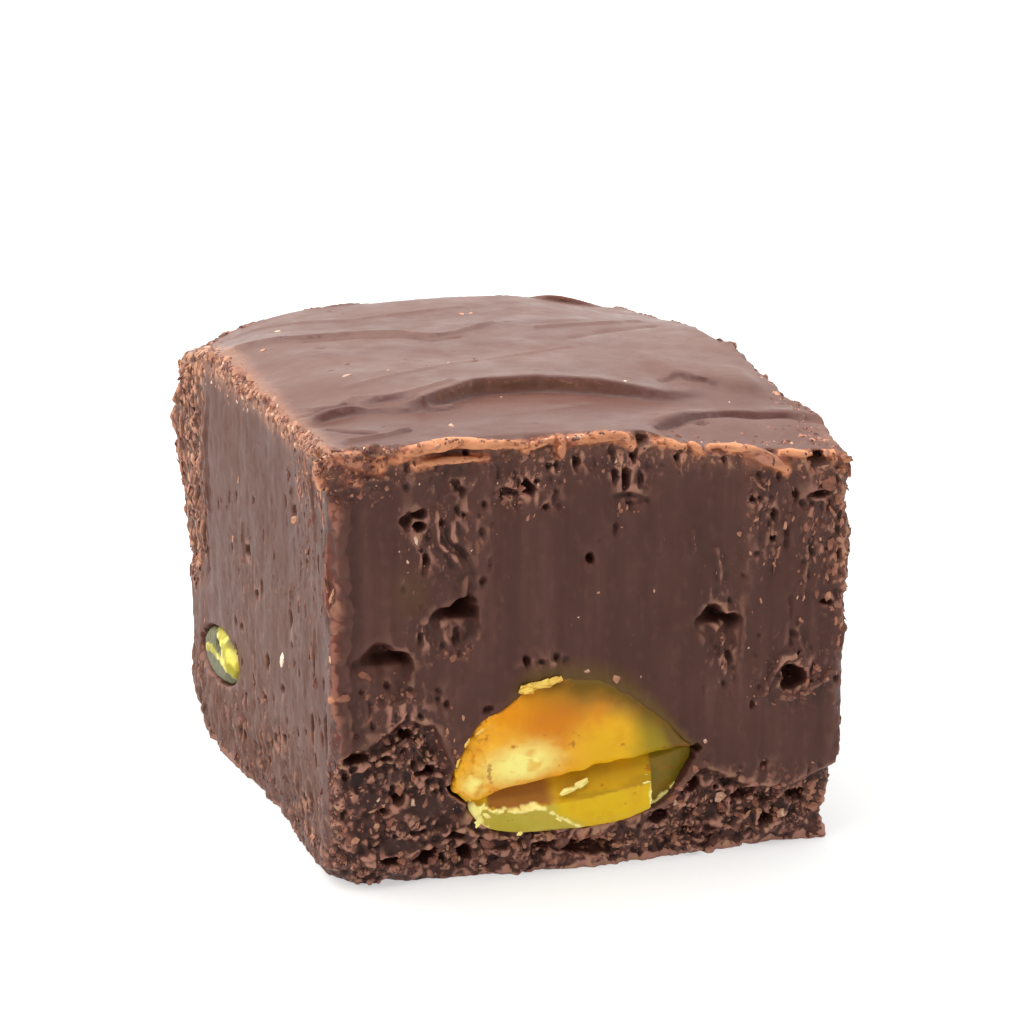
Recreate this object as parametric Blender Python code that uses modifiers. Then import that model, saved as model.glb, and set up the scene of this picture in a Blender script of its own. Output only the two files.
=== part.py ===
"""A hand-cut block of chocolate fudge with two pistachio kernels showing in its cut sides.

Frame: the origin is the middle of the underside, +X to the right, +Y to the back and +Z up.
The shapes are worked out in millimetres from the block's front left bottom corner, x to the
right, y to the back and z up, and are moved to the frame, in metres, when they become meshes.
"""
import bmesh
import bpy
import numpy as np
from mathutils import Matrix, Vector

MM = 0.001

# Driving dimensions of the block
WIDTH = 30.0
DEPTH = 36.5
HEIGHT = 24.5
CUT_EDGE_RADIUS = 0.7
BACK_CORNER_RADIUS = 4.3
FOOT_CORNER_RADIUS = 2.6
BELOW_TABLE = 0.5

# The poured top: a folded skin that lies higher behind its fold than in front of it
FOLD_HEIGHT = 0.9
FOLD_WIDTH = 1.8
FOLD_X = (0.0, 4.5, 7.5, 11.5, 15.0, 18.5, 22.0, 26.0)
FOLD_Y = (6.8, 8.0, 7.4, 10.2, 10.2, 8.9, 7.6, 8.4)
FOLD_PART = (0.35, 0.45, 0.8, 1.0, 1.0, 0.9, 0.45, 0.0)
BACK_SWELL = 0.35
LEFT_ROLL = 0.75
FRONT_RIGHT_FALL = 1.15
APRON_FALL = 0.75
APRON_DEPTH = 4.6
BACK_LEFT_FALL = 1.6
BACK_RIGHT_FALL = 1.0

# The front's smeared skin ends at a line, below which the cut is crumbly and set back
SKIN_X = (0.0, 2.3, 4.2, 5.8, 7.5, 9.5, 19.5, 21.5, 25.1, 27.0, 30.0)
SKIN_Z = (7.9, 8.6, 9.9, 9.3, 5.4, 3.4, 3.4, 5.8, 4.3, 4.1, 5.2)
SKIN_RECESS = 0.75
SKIN_STEP = 0.7
FOOT_INSET = 0.3

# Broken hollows in the front: x, z, half width, half height, depth and droop of the brow
FRONT_HOLLOWS = {
    "left_cave": (3.6, 12.3, 2.0, 1.6, 2.7, 0.9),
    "middle_cave": (7.5, 14.9, 1.8, 1.5, 2.3, 0.8),
    "right_cave": (22.3, 13.3, 1.7, 1.5, 2.0, 0.7),
    "right_hole": (26.8, 9.9, 1.3, 1.4, 2.6, 0.4),
    "crater": (11.0, 21.2, 1.7, 1.0, 0.7, 0.3),
    "bell": (17.0, 20.9, 1.0, 1.2, 0.7, 0.3),
    "low_left_pit": (5.4, 5.4, 1.8, 1.3, 1.0, 0.4),
    "foot_pit": (7.2, 1.8, 1.9, 1.0, 1.0, 0.2),
    "under_kernel": (15.2, 0.9, 2.2, 0.9, 1.1, 0.1),
}
HOLLOW_RAGGEDNESS = 0.28
FLOOR_RISE = 0.55

# Raggedness: size of its lumps, and how far they stand out or in
EDGE_LUMP = 2.2
EDGE_RELIEF = 0.38
CRUMB_LUMP = 1.7
CRUMB_RELIEF = 0.32
CUT_WAVE = 9.0
CUT_RELIEF = 0.22
TOP_WAVE = 11.0
TOP_RELIEF = 0.16

# The kernel in the front is split in two along a crack that climbs to the right
FRONT_KERNEL = (14.2, 0.6, 5.3)
CRACK_SLOPE = 0.15
CRACK_GAP = 0.35
LOWER_SHIFT = 0.6
LOWER_CUT_Y = -0.2

# The kernel in the left side is one half, broken at its front end
LEFT_KERNEL = (0.8, 26.2, 5.8)
LEFT_TILT = 0.06
LEFT_BREAK_Y = 21.2
LEFT_CUT_X = -0.35

# Kernel pieces: half length, bulge outward, depth inward and height from the middle
UPPER_SIZES = (7.2, 1.1, 3.6, 5.9)
LOWER_SIZES = (6.7, 1.1, 3.4, 3.4)
LEFT_SIZES = (5.6, 1.6, 2.4, 2.1)
KERNEL_TAPER = 0.07
KERNEL_RIPPLE = 0.03

POCKET_GAP = 0.35

# Mesh sizes
GRID_LEVELS = 6
VOXEL = 0.42
BLOCK_TRIANGLES = 7800
KERNEL_RINGS = 14
KERNEL_SEGMENTS = 22


def smooth(low, high, value):
    """0 at low, 1 at high and a soft S between; low may be the larger one."""
    part = np.clip((value - low) / (high - low), 0.0, 1.0)
    return part * part * (3.0 - 2.0 * part)


def bump(value, centre, half_width):
    """1 at the centre, falling softly to 0 at half_width on both sides."""
    return smooth(1.0, 0.0, np.abs(value - centre) / half_width)


def hashed(cells, seed):
    """A repeatable number from 0 to 1 for each row of whole-number cells."""
    cells = cells.astype(np.int64)
    mixed = cells[:, 0] * 374761393 + cells[:, 1] * 668265263 + cells[:, 2] * 1440662683 + seed * 974711
    mixed = (mixed ^ (mixed >> 13)) * 1274126177
    return ((mixed ^ (mixed >> 16)) & 0xFFFFF) / float(0xFFFFF)


def waves(points, cell, seed):
    """Soft noise from -1 to 1 whose hills are about one cell apart."""
    scaled = points / np.asarray(cell, dtype=float)
    base = np.floor(scaled)
    part = scaled - base
    part = part * part * (3.0 - 2.0 * part)
    total = np.zeros(len(points))
    for corner in range(8):
        step = np.array([(corner >> axis) & 1 for axis in range(3)])
        weight = np.prod(np.where(step == 1, part, 1.0 - part), axis=1)
        total += weight * hashed(base + step, seed)
    return 2.0 * total - 1.0


def lumps(points, cell, seed):
    """Rounded grains about one cell across: 1 on top of a grain, 0 in the cracks between."""
    scaled = points / cell
    base = np.floor(scaled)
    nearest = np.full(len(points), 9.0)
    for neighbour in range(27):
        step = np.array([neighbour % 3, neighbour // 3 % 3, neighbour // 9]) - 1
        cells = base + step
        grain = cells + np.stack([hashed(cells, seed + axis) for axis in range(3)], axis=1)
        nearest = np.minimum(nearest, ((scaled - grain) ** 2).sum(axis=1))
    return np.clip(1.0 - nearest, 0.0, 1.0)


def rounded_block(unit):
    """Points of a cube of -1 to 1 moved on to the rounded block, with their outward directions."""
    half = np.array([WIDTH / 2, DEPTH / 2, (HEIGHT + BELOW_TABLE) / 2])
    left = smooth(0.2, 1.0, -unit[:, 0])
    back_corner = left * smooth(0.2, 1.0, unit[:, 1]) * smooth(0.9, -0.7, unit[:, 2])
    foot_corner = left * smooth(0.5, 1.0, -unit[:, 1]) * smooth(-0.5, -1.0, unit[:, 2])
    radius = CUT_EDGE_RADIUS + (BACK_CORNER_RADIUS - CUT_EDGE_RADIUS) * back_corner[:, None] ** 2
    radius += (FOOT_CORNER_RADIUS - CUT_EDGE_RADIUS) * foot_corner[:, None]
    spread = unit * half
    inner = np.clip(spread, radius - half, half - radius)
    outward = spread - inner
    outward /= np.linalg.norm(outward, axis=1)[:, None]
    return inner + outward * radius + half * (1, 1, 1) - (0, 0, BELOW_TABLE), outward


def top_offset(x, y):
    """How far the poured top lies above the nominal height."""
    fold_y = np.interp(x, FOLD_X, FOLD_Y)
    fold_part = np.interp(x, FOLD_X, FOLD_PART)
    raised = FOLD_HEIGHT * fold_part * smooth(fold_y, fold_y + FOLD_WIDTH, y)
    behind = FOLD_HEIGHT * (1.0 - fold_part) * smooth(4.0, 22.0, y)
    swell = BACK_SWELL * bump(x, 18.0, 12.0) * smooth(12.0, DEPTH, y)
    roll = LEFT_ROLL * smooth(5.0, 0.0, x) * smooth(4.0, 12.0, y)
    fall = FRONT_RIGHT_FALL * smooth(15.0, 31.0, x) * smooth(20.0, 0.0, y)
    apron = APRON_FALL * smooth(17.5, 21.0, x) * smooth(APRON_DEPTH, 0.0, y)
    corners = BACK_LEFT_FALL * smooth(9.0, 0.0, x) * smooth(26.0, DEPTH, y)
    corners += BACK_RIGHT_FALL * smooth(21.0, WIDTH, x) * smooth(22.0, DEPTH, y)
    return raised + behind + swell - roll - fall - apron - corners


def left_offset(y, z):
    """How far the left side lies inside the nominal width."""
    flank = 0.75 - 1.25 * smooth(6.0, DEPTH, y)
    foot = 0.5 * smooth(6.0, 0.0, z) * bump(y, 12.0, 12.0)
    burr = 0.35 * bump(z, 19.5, 4.5) * smooth(31.0, DEPTH, y)
    return flank + foot - burr


def right_offset(y, z):
    """How far the right side lies outside the nominal width."""
    burr = 0.4 * bump(z, 18.3, 3.0) * smooth(5.0, 0.0, y)
    return burr - 0.1 - 0.9 * smooth(8.0, 0.0, z)


def front_offset(x, z):
    """How far the front lies behind the nominal face."""
    below_skin = np.interp(x, SKIN_X, SKIN_Z) - z
    recess = SKIN_RECESS * smooth(0.0, SKIN_STEP, below_skin)
    return recess * (1.0 - 0.5 * bump(x, 14.3, 8.0)) + FOOT_INSET * smooth(3.0, 0.0, z)


def crumbliness(points, facing):
    """1 where the fudge is broken or crumbly, 0 on smeared or poured skin."""
    x, y, z = points.T
    low_front = smooth(0.0, SKIN_STEP, np.interp(x, SKIN_X, SKIN_Z) - z) * facing["front"]
    low_left = 0.7 * smooth(9.0, 3.0, z) * facing["left"]
    back_left = smooth(26.0, 31.0, y) * facing["left"]
    hidden = 0.6 * smooth(10.0, 3.0, z) * (facing["back"] + facing["right"])
    return np.clip(low_front + low_left + back_left + hidden, 0.0, 1.0)


def hollow(points, facing, x, z, half_width, half_height, depth, droop):
    """Sinks a hollow in the front, with its upper rim drawn down over it."""
    across = (points[:, 0] - x) / half_width
    up = (points[:, 2] - z) / half_height
    ragged = 1.0 + HOLLOW_RAGGEDNESS * waves(points, (1.3, 1.3, 1.3), 41)
    inside = smooth(1.0, 0.45, np.hypot(across, up) * ragged) * facing["front"]
    points[:, 1] += depth * inside * (1.0 - FLOOR_RISE * smooth(0.2, -0.9, up))
    points[:, 2] -= droop * inside * smooth(-0.2, 0.9, up)


def shape_block(unit):
    """The block's surface for points of a cube: warped, folded, hollowed and ragged."""
    points, outward = rounded_block(unit)
    facing = {
        "front": smooth(0.3, 0.8, -outward[:, 1]),
        "back": smooth(0.3, 0.8, outward[:, 1]),
        "left": smooth(0.3, 0.8, -outward[:, 0]),
        "right": smooth(0.3, 0.8, outward[:, 0]),
        "top": smooth(0.3, 0.8, outward[:, 2]),
    }
    flat = points.copy()
    x, y, z = flat.T
    points[:, 0] += left_offset(y, z) * (1.0 - x / WIDTH) + right_offset(y, z) * x / WIDTH
    points[:, 1] += front_offset(x, z) * smooth(0.5, 0.0, y / DEPTH)
    points[:, 2] += top_offset(x, y) * np.clip(z / HEIGHT, 0.0, 1.0)

    sides = facing["front"] + facing["back"] + facing["left"] + facing["right"]
    edge = smooth(0.99, 0.8, np.abs(outward).max(axis=1)) * smooth(-0.5, 0.5, outward[:, 2] + 0.4)
    crumbs = crumbliness(flat, facing)
    ragged = CUT_RELIEF * sides * waves(flat, (CUT_WAVE,) * 3, 3)
    ragged += TOP_RELIEF * facing["top"] * waves(flat, (TOP_WAVE, TOP_WAVE / 3, TOP_WAVE), 5)
    ragged += CRUMB_RELIEF * crumbs * (2.0 * lumps(flat, CRUMB_LUMP, 11) - 1.0)
    ragged += EDGE_RELIEF * edge * waves(flat, (EDGE_LUMP,) * 3, 17)
    points += outward * ragged[:, None]
    for sizes in FRONT_HOLLOWS.values():
        hollow(points, facing, *sizes)
    return points


def material(name, colour, roughness):
    """A plain Principled material."""
    made = bpy.data.materials.new(name)
    made.use_nodes = True
    shader = made.node_tree.nodes["Principled BSDF"]
    shader.inputs["Base Color"].default_value = (*colour, 1.0)
    shader.inputs["Roughness"].default_value = roughness
    shader.inputs["Metallic"].default_value = 0.0
    made.diffuse_color = (*colour, 1.0)
    return made


def place(mesh, points):
    """Writes points in block millimetres to a mesh in the part's frame."""
    moved = (np.asarray(points) - (WIDTH / 2, DEPTH / 2, 0.0)) * MM
    mesh.vertices.foreach_set("co", moved.astype(np.float32).ravel())
    mesh.update()


def points_of(mesh):
    """A mesh's vertices as rows of x, y and z."""
    flat = np.empty(len(mesh.vertices) * 3, dtype=np.float32)
    mesh.vertices.foreach_get("co", flat)
    return flat.reshape(-1, 3).astype(float)


def applied(thing):
    """Turns an object's modifiers into its mesh."""
    graph = bpy.context.evaluated_depsgraph_get()
    mesh = bpy.data.meshes.new_from_object(thing.evaluated_get(graph))
    thing.modifiers.clear()
    thing.data = mesh


def adopt(thing, collection):
    """Moves an object that an operator made into one collection."""
    for owner in list(thing.users_collection):
        owner.objects.unlink(thing)
    collection.objects.link(thing)


def cut(thing, cutter):
    """Takes the cutter's shape out of a thing."""
    boolean = thing.modifiers.new("Cut_" + cutter.name, "BOOLEAN")
    boolean.operation = "DIFFERENCE"
    boolean.solver = "EXACT"
    boolean.object = cutter


def make_block(collection):
    """The block itself, before its pockets are cut."""
    bpy.ops.mesh.primitive_cube_add(size=2.0)
    block = bpy.context.object
    block.name = "fudge_block"
    adopt(block, collection)
    grid = block.modifiers.new("Grid", "SUBSURF")
    grid.subdivision_type = "SIMPLE"
    grid.levels = GRID_LEVELS
    grid.render_levels = GRID_LEVELS
    applied(block)
    place(block.data, shape_block(points_of(block.data)))
    remesh = block.modifiers.new("Even", "REMESH")
    remesh.mode = "VOXEL"
    remesh.voxel_size = VOXEL * MM
    applied(block)
    block.data.calc_loop_triangles()
    thin = block.modifiers.new("Thin", "DECIMATE")
    thin.ratio = BLOCK_TRIANGLES / len(block.data.loop_triangles)
    thin.use_collapse_triangulate = True
    applied(block)
    block.data.materials.append(material("fudge", (0.055, 0.024, 0.018), 0.55))
    return block


def table_cutter(collection):
    """A slab whose top is the table, which slices the underside flat."""
    bpy.ops.mesh.primitive_cube_add(size=1.0, location=(0.0, 0.0, -2.0 * MM))
    slab = bpy.context.object
    slab.name = "table_cutter"
    slab.scale = (2.0 * WIDTH * MM, 2.0 * DEPTH * MM, 4.0 * MM)
    adopt(slab, collection)
    return slab


def kernel_form(name, collection, centre, sizes, slope, grow, faces_left=False):
    """A kernel's egg form, lying in the front or in the left side with a flatter side outward."""
    bpy.ops.mesh.primitive_uv_sphere_add(segments=KERNEL_SEGMENTS, ring_count=KERNEL_RINGS, radius=1.0)
    form = bpy.context.object
    form.name = name
    adopt(form, collection)
    outward, up, along = points_of(form.data).T
    length, bulge, depth, height = (size + grow for size in sizes)
    ripple = waves(np.stack((outward, up, along), 1), (0.5, 0.5, 0.5), 29)
    girth = 1.0 - KERNEL_TAPER * along + KERNEL_RIPPLE * ripple
    run = along * length
    rise = up * height * girth + slope * run
    inward = -np.where(outward > 0.0, bulge, depth) * outward * girth
    shape = (inward, run, rise) if faces_left else (run, inward, rise)
    place(form.data, np.stack(shape, 1) + centre)
    return form


def plane_cut(thing, point, normal):
    """Slices off what lies on the side that the normal points to, and closes the cut."""
    origin = (Vector(point) - Vector((WIDTH / 2, DEPTH / 2, 0.0))) * MM
    work = bmesh.new()
    work.from_mesh(thing.data)
    geometry = work.verts[:] + work.edges[:] + work.faces[:]
    bmesh.ops.bisect_plane(
        work, geom=geometry, dist=1e-7, plane_co=origin, plane_no=normal, clear_outer=True
    )
    rim = [edge for edge in work.edges if edge.is_boundary]
    bmesh.ops.contextual_create(work, geom=rim)
    bmesh.ops.triangulate(work, faces=[face for face in work.faces if len(face.verts) > 4])
    bmesh.ops.recalc_face_normals(work, faces=work.faces[:])
    work.to_mesh(thing.data)
    work.free()


def upper_half(name, collection, grow):
    """The front kernel's upper half, flat along the crack."""
    half = kernel_form(name, collection, FRONT_KERNEL, UPPER_SIZES, CRACK_SLOPE, grow)
    x, y, z = FRONT_KERNEL
    plane_cut(half, (x, y, z + CRACK_GAP / 2 - grow), (CRACK_SLOPE, 0.0, -1.0))
    return half


def lower_half(name, collection, grow):
    """The front kernel's lower half, with the knife's flat facet at the front."""
    x, y, z = FRONT_KERNEL
    centre = (x + LOWER_SHIFT, y, z)
    half = kernel_form(name, collection, centre, LOWER_SIZES, CRACK_SLOPE, grow)
    plane_cut(half, (x, y, z - CRACK_GAP / 2 + grow), (-CRACK_SLOPE, 0.0, 1.0))
    plane_cut(half, (x, LOWER_CUT_Y - grow, z), (0.08, -1.0, -0.12))
    return half


def left_half(name, collection, grow):
    """The left side's kernel, sliced by the knife and snapped off towards the front."""
    half = kernel_form(name, collection, LEFT_KERNEL, LEFT_SIZES, LEFT_TILT, grow, faces_left=True)
    plane_cut(half, (LEFT_KERNEL[0], LEFT_BREAK_Y - grow, LEFT_KERNEL[2]), (-0.2, -1.0, 0.25))
    plane_cut(half, (LEFT_CUT_X - grow, LEFT_KERNEL[1], LEFT_KERNEL[2]), (-1.0, 0.02, 0.06))
    return half


KERNELS = {
    "pistachio_front_upper": (upper_half, (0.72, 0.36, 0.035)),
    "pistachio_front_lower": (lower_half, (0.60, 0.46, 0.035)),
    "pistachio_left": (left_half, (0.30, 0.36, 0.04)),
}


def build():
    """Clears the scene and makes the fudge."""
    for thing in list(bpy.data.objects):
        bpy.data.objects.remove(thing, do_unlink=True)
    scene = bpy.context.scene
    parts = bpy.data.collections.new("fudge_with_pistachio")
    cutters = bpy.data.collections.new("cutters")
    scene.collection.children.link(parts)
    scene.collection.children.link(cutters)
    block = make_block(parts)
    tools = [table_cutter(cutters)]
    for name, (maker, colour) in KERNELS.items():
        kernel = maker(name, parts, 0.0)
        kernel.data.materials.append(material(name + "_flesh", colour, 0.4))
        kernel.data.shade_smooth()
        tools.append(maker(name + "_pocket", cutters, POCKET_GAP))
    for tool in tools:
        tool.hide_render = True
        tool.display_type = "WIRE"
        cut(block, tool)


build()
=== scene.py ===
"""The looks of a hand-cut block of chocolate fudge with pistachio kernels in its cut sides.

Shapes are worked out in millimetres from the block's front left bottom corner, x to the right,
y to the back and z up, as in the part's source, and become metres in the frame's own axes.
"""
import math
from contextlib import contextmanager

import bmesh
import bpy
import numpy as np
from mathutils import Matrix, Vector
from mathutils.bvhtree import BVHTree


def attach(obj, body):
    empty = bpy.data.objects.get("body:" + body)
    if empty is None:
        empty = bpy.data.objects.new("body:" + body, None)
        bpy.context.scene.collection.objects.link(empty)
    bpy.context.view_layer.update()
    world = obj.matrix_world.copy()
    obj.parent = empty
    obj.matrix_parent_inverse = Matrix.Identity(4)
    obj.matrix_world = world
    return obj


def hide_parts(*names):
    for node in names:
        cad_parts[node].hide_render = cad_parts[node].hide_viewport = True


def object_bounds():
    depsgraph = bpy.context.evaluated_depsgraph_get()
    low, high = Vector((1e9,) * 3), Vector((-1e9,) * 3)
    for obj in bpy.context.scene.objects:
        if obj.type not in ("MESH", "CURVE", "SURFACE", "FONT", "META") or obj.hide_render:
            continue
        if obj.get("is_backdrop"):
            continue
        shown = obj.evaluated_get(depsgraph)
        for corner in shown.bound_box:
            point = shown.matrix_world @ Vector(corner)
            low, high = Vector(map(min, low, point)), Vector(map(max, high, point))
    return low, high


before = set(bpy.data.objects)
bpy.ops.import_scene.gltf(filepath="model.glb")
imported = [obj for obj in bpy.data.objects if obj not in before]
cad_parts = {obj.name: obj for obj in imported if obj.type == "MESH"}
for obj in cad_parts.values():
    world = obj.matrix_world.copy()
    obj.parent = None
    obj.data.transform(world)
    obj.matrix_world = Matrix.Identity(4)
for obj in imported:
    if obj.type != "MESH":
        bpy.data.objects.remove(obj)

CAD_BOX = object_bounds()
MM = 0.001

# The block, as in the part's source but with a steeper fold in its top
WIDTH = 30
DEPTH = 36.5
HEIGHT = 24.5
MIDDLE = (WIDTH / 2, DEPTH / 2, 0)
CUT_EDGE_RADIUS = 0.7
BACK_CORNER_RADIUS = 4.3
FOOT_CORNER_RADIUS = 2.6
BELOW_TABLE = 0.5
FOLD_HEIGHT = 0.9
FOLD_WIDTH = 1.3
FOLD_X = (0, 4.5, 7.5, 11.5, 15, 18.5, 22, 26)
FOLD_Y = (6.8, 8, 7.4, 10.2, 10.2, 8.9, 7.6, 8.4)
FOLD_PART = (0.35, 0.45, 0.8, 1, 1, 0.9, 0.45, 0)
BACK_SWELL = 0.35
LEFT_ROLL = 0.75
FRONT_RIGHT_FALL = 1.15
APRON_FALL = 0.75
APRON_DEPTH = 4.6
BACK_LEFT_FALL = 1.6
BACK_RIGHT_FALL = 1
SKIN_X = (0, 2.3, 4.2, 5.8, 7.5, 9.5, 19.5, 21.5, 25.1, 27, 30)
SKIN_Z = (7.9, 8.6, 9.9, 9.3, 5.4, 3.4, 3.4, 5.8, 4.3, 4.1, 5.2)
SKIN_RECESS = 0.75
SKIN_STEP = 0.7
FOOT_INSET = 0.3
EDGE_LUMP = 2.2
EDGE_RELIEF = 0.38
CRUMB_LUMP = 1.7
CRUMB_RELIEF = 0.32
CUT_WAVE = 9
CUT_RELIEF = 0.22
TOP_WAVE = 11
TOP_RELIEF = 0.16

# The front kernel: the upper half's top, the crack and the lower half's foot, along x
UPPER_ENDS = (7.4, 21.3)
UPPER_X = (7.7, 8.3, 9, 10.2, 10.8, 11.6, 13.4, 15.5, 17.3, 19, 20.2, 20.9)
UPPER_TOP = (6.9, 8.5, 9.25, 9.8, 10.6, 11.15, 11.3, 11.1, 10.2, 8.8, 7.5, 6.6)
CRACK_X = (7.3, 8.1, 9, 10.2, 11.9, 13.1, 15, 17, 18.5, 21)
CRACK_Z = (5.1, 4.4, 4.75, 5.2, 5.3, 5.6, 5.9, 6.15, 6.32, 6.4)
LOWER_ENDS = (8.35, 21.1)
LOWER_X = (8.6, 9, 10, 13, 17, 18.4, 19.3, 20.2, 20.8)
LOWER_FOOT = (3.7, 3.15, 2.75, 2.5, 2.6, 3, 3.4, 4.3, 5.5)
CRACK_GAP = 0.06
KERNEL_Y = 0.6
KERNEL_BULGE = 1.15
KERNEL_DEPTH = 3.5
KERNEL_FULLNESS = 0.6
KNIFE_Y = -0.42
FACET_X = (8.5, 9.5, 11, 12.4, 14.7, 18.5)
FACET_Z = (4.3, 4.1, 3.95, 4.15, 4.25, 4.75)
RIDGE_START = (12.75, 3.75)
RIDGE_SLOPE = -0.66
END_X = 18.5

# The left kernel, tilted a little more than in the part's source
LEFT_KERNEL = (0.8, 26.2, 5.9)
LEFT_TILT = -0.09
LEFT_BREAK_Y = 21.2
LEFT_CUT_X = -0.35
LEFT_SIZES = (5.4, 1.6, 2.4, 1.78)
KERNEL_TAPER = 0.07

# Each side's own directions: across, up and depth as axis numbers, and the sign of inward
SIDES = {
    "front": (0, 2, 1, 1),
    "back": (0, 2, 1, -1),
    "left": (1, 2, 0, 1),
    "right": (1, 2, 0, -1),
    "top": (0, 1, 2, -1),
}

# Hollows by side: across, up, half width, half height, depth, and 1 where the far wall is steep
HOLLOWS = [
    ("top", (24.2, 10.2, 1.6, 1.1, 0.5, 1), (22.4, 3.4, 0.5, 0.35, 0.3)),
    ("front", (3.7, 12.3, 1.6, 1.6, 2.4, 1), (7.4, 14.6, 1.4, 1.5, 2.1, 1),
        (22.3, 13.1, 1.25, 1.3, 1.8, 1), (26.75, 10, 0.6, 0.85, 2), (10.4, 21.3, 0.9, 0.5, 0.6, 1),
        (17, 20.7, 0.8, 0.6, 0.5, 1), (5.6, 20.8, 0.42, 0.26, 1.1), (5.6, 20.15, 0.4, 0.24, 1.1),
        (4.9, 20.5, 0.3, 0.5, 0.6), (15, 17.7, 0.22, 0.36, 1), (11.5, 21.8, 0.34, 0.42, 1.2),
        (16.9, 21.9, 0.17, 0.7, 1), (16.4, 19.2, 0.13, 0.35, 0.6), (12.3, 12.2, 0.2, 0.15, 0.4),
        (13.1, 12.3, 0.17, 0.16, 0.35), (5.9, 18.3, 0.13, 0.5, 0.7), (6.5, 11, 0.15, 0.45, 0.9, 1),
        (9.3, 9.8, 0.3, 0.2, 0.6), (17.85, 23.85, 0.4, 0.3, 1), (20.6, 23.4, 0.3, 0.25, 1),
        (21.5, 23.4, 0.28, 0.22, 0.9), (25.7, 22.75, 0.95, 0.32, 1.3, 1), (28, 22.2, 0.8, 0.45, 1.2),
        (28.2, 20.25, 0.65, 0.16, 1), (24.18, 20.25, 0.16, 0.26, 0.8), (24.5, 17.2, 0.17, 0.13, 0.6),
        (25.5, 17.95, 0.22, 0.14, 0.6), (26.75, 20.35, 0.16, 0.34, 0.7), (28.7, 14.1, 0.38, 0.13, 0.9),
        (1.9, 7.65, 0.6, 0.35, 1.2), (4.86, 8.66, 0.32, 0.38, 1), (4.8, 7.3, 0.25, 0.7, 1, 1),
        (5.75, 6.1, 0.8, 0.55, 1.6, 1), (3.84, 7.42, 0.28, 0.22, 0.8), (4.5, 4.97, 0.36, 0.24, 1),
        (3.68, 4.35, 0.24, 0.22, 0.8), (5.5, 3.05, 0.45, 0.16, 0.9), (7.7, 2.5, 0.55, 0.18, 1),
        (6.05, 1.5, 0.64, 0.48, 1.6), (8.2, 1.5, 0.42, 0.42, 1.2), (3.96, 1.5, 0.7, 0.22, 1),
        (15.2, 1.2, 1.7, 0.45, 1.3), (12.4, 1.6, 0.5, 0.35, 1), (19.2, 2.6, 0.7, 0.4, 1.1),
        (21.2, 4.1, 0.5, 0.35, 1), (24.2, 3.3, 0.6, 0.4, 1), (27.4, 2.9, 0.6, 0.4, 1),
        (25.6, 1.6, 0.5, 0.3, 0.8)),
    ("left", (8.6, 19.2, 0.6, 0.4, 0.7), (18.4, 14.5, 0.55, 0.35, 0.9), (16.6, 12.4, 0.35, 0.25, 0.6),
        (14.6, 8.9, 0.4, 0.5, 1), (4.6, 8.2, 0.35, 0.8, 0.9), (1.7, 9, 0.3, 0.8, 0.9),
        (11.2, 8.3, 0.3, 0.3, 0.6), (13.2, 4.6, 0.5, 0.35, 0.8), (11, 5.4, 0.35, 0.25, 0.7),
        (15.2, 6.5, 0.4, 0.3, 0.7), (6.2, 3.4, 0.6, 0.4, 0.8), (20.2, 9.4, 0.3, 0.25, 0.5),
        (4.1, 11.6, 0.2, 0.8, 0.6), (9.4, 12.9, 0.25, 0.5, 0.5), (35.3, 9.9, 1.1, 0.6, 1.2)),
    ("right", (9, 14, 1.4, 1.1, 1.8, 1), (22.5, 9.5, 1.7, 1.3, 2.2, 1), (29, 16.5, 0.9, 0.8, 1.3),
        (15, 18.5, 0.5, 0.4, 0.9), (5, 8, 0.5, 0.5, 1), (18, 5.2, 0.7, 0.5, 1.1), (27, 4.2, 0.6, 0.4, 1),
        (32, 10.2, 0.3, 0.7, 0.8)),
    ("back", (8, 11.5, 1.6, 1.3, 2, 1), (19.5, 15.5, 1.2, 1, 1.6, 1), (23.5, 6.5, 1.3, 0.9, 1.4),
        (13.5, 18, 0.4, 0.4, 0.8), (14, 5, 0.6, 0.4, 1), (6, 4.5, 0.5, 0.5, 1),
        (26, 17.5, 0.3, 0.8, 0.8)),
]

# Fields of small pits by side: across, up, half spreads and count
PIT_FIELDS = [
    ("front", (7, 19.5, 2.5, 3, 18), (11.3, 21.8, 2.2, 1.3, 16), (17.2, 22, 1.2, 1.5, 9),
        (24.8, 19.5, 1.2, 3.5, 12), (28, 18.5, 1.3, 3.6, 16), (27, 10.5, 2.6, 2.2, 12),
        (15, 22.8, 13, 0.9, 18), (4.5, 9.5, 2.5, 2.5, 18), (6.5, 14, 2.2, 1.6, 6),
        (22.5, 13.5, 1.2, 4, 9), (12.7, 12.2, 1.5, 0.3, 3), (4, 5, 3.5, 3.5, 26), (24, 3.2, 5, 2, 22),
        (14, 1.4, 8, 0.8, 16), (29.2, 17.5, 0.8, 5, 8)),
    ("left", (6, 14, 4.5, 8, 16), (18, 12, 7, 6, 9), (14, 5.5, 10, 3, 22), (31, 15, 2.5, 7, 14)),
    ("right", (18, 12, 16, 9, 34), (18, 4, 16, 3, 26)),
    ("back", (15, 12, 14, 9, 30), (15, 3.5, 14, 2.5, 22)),
]

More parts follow.
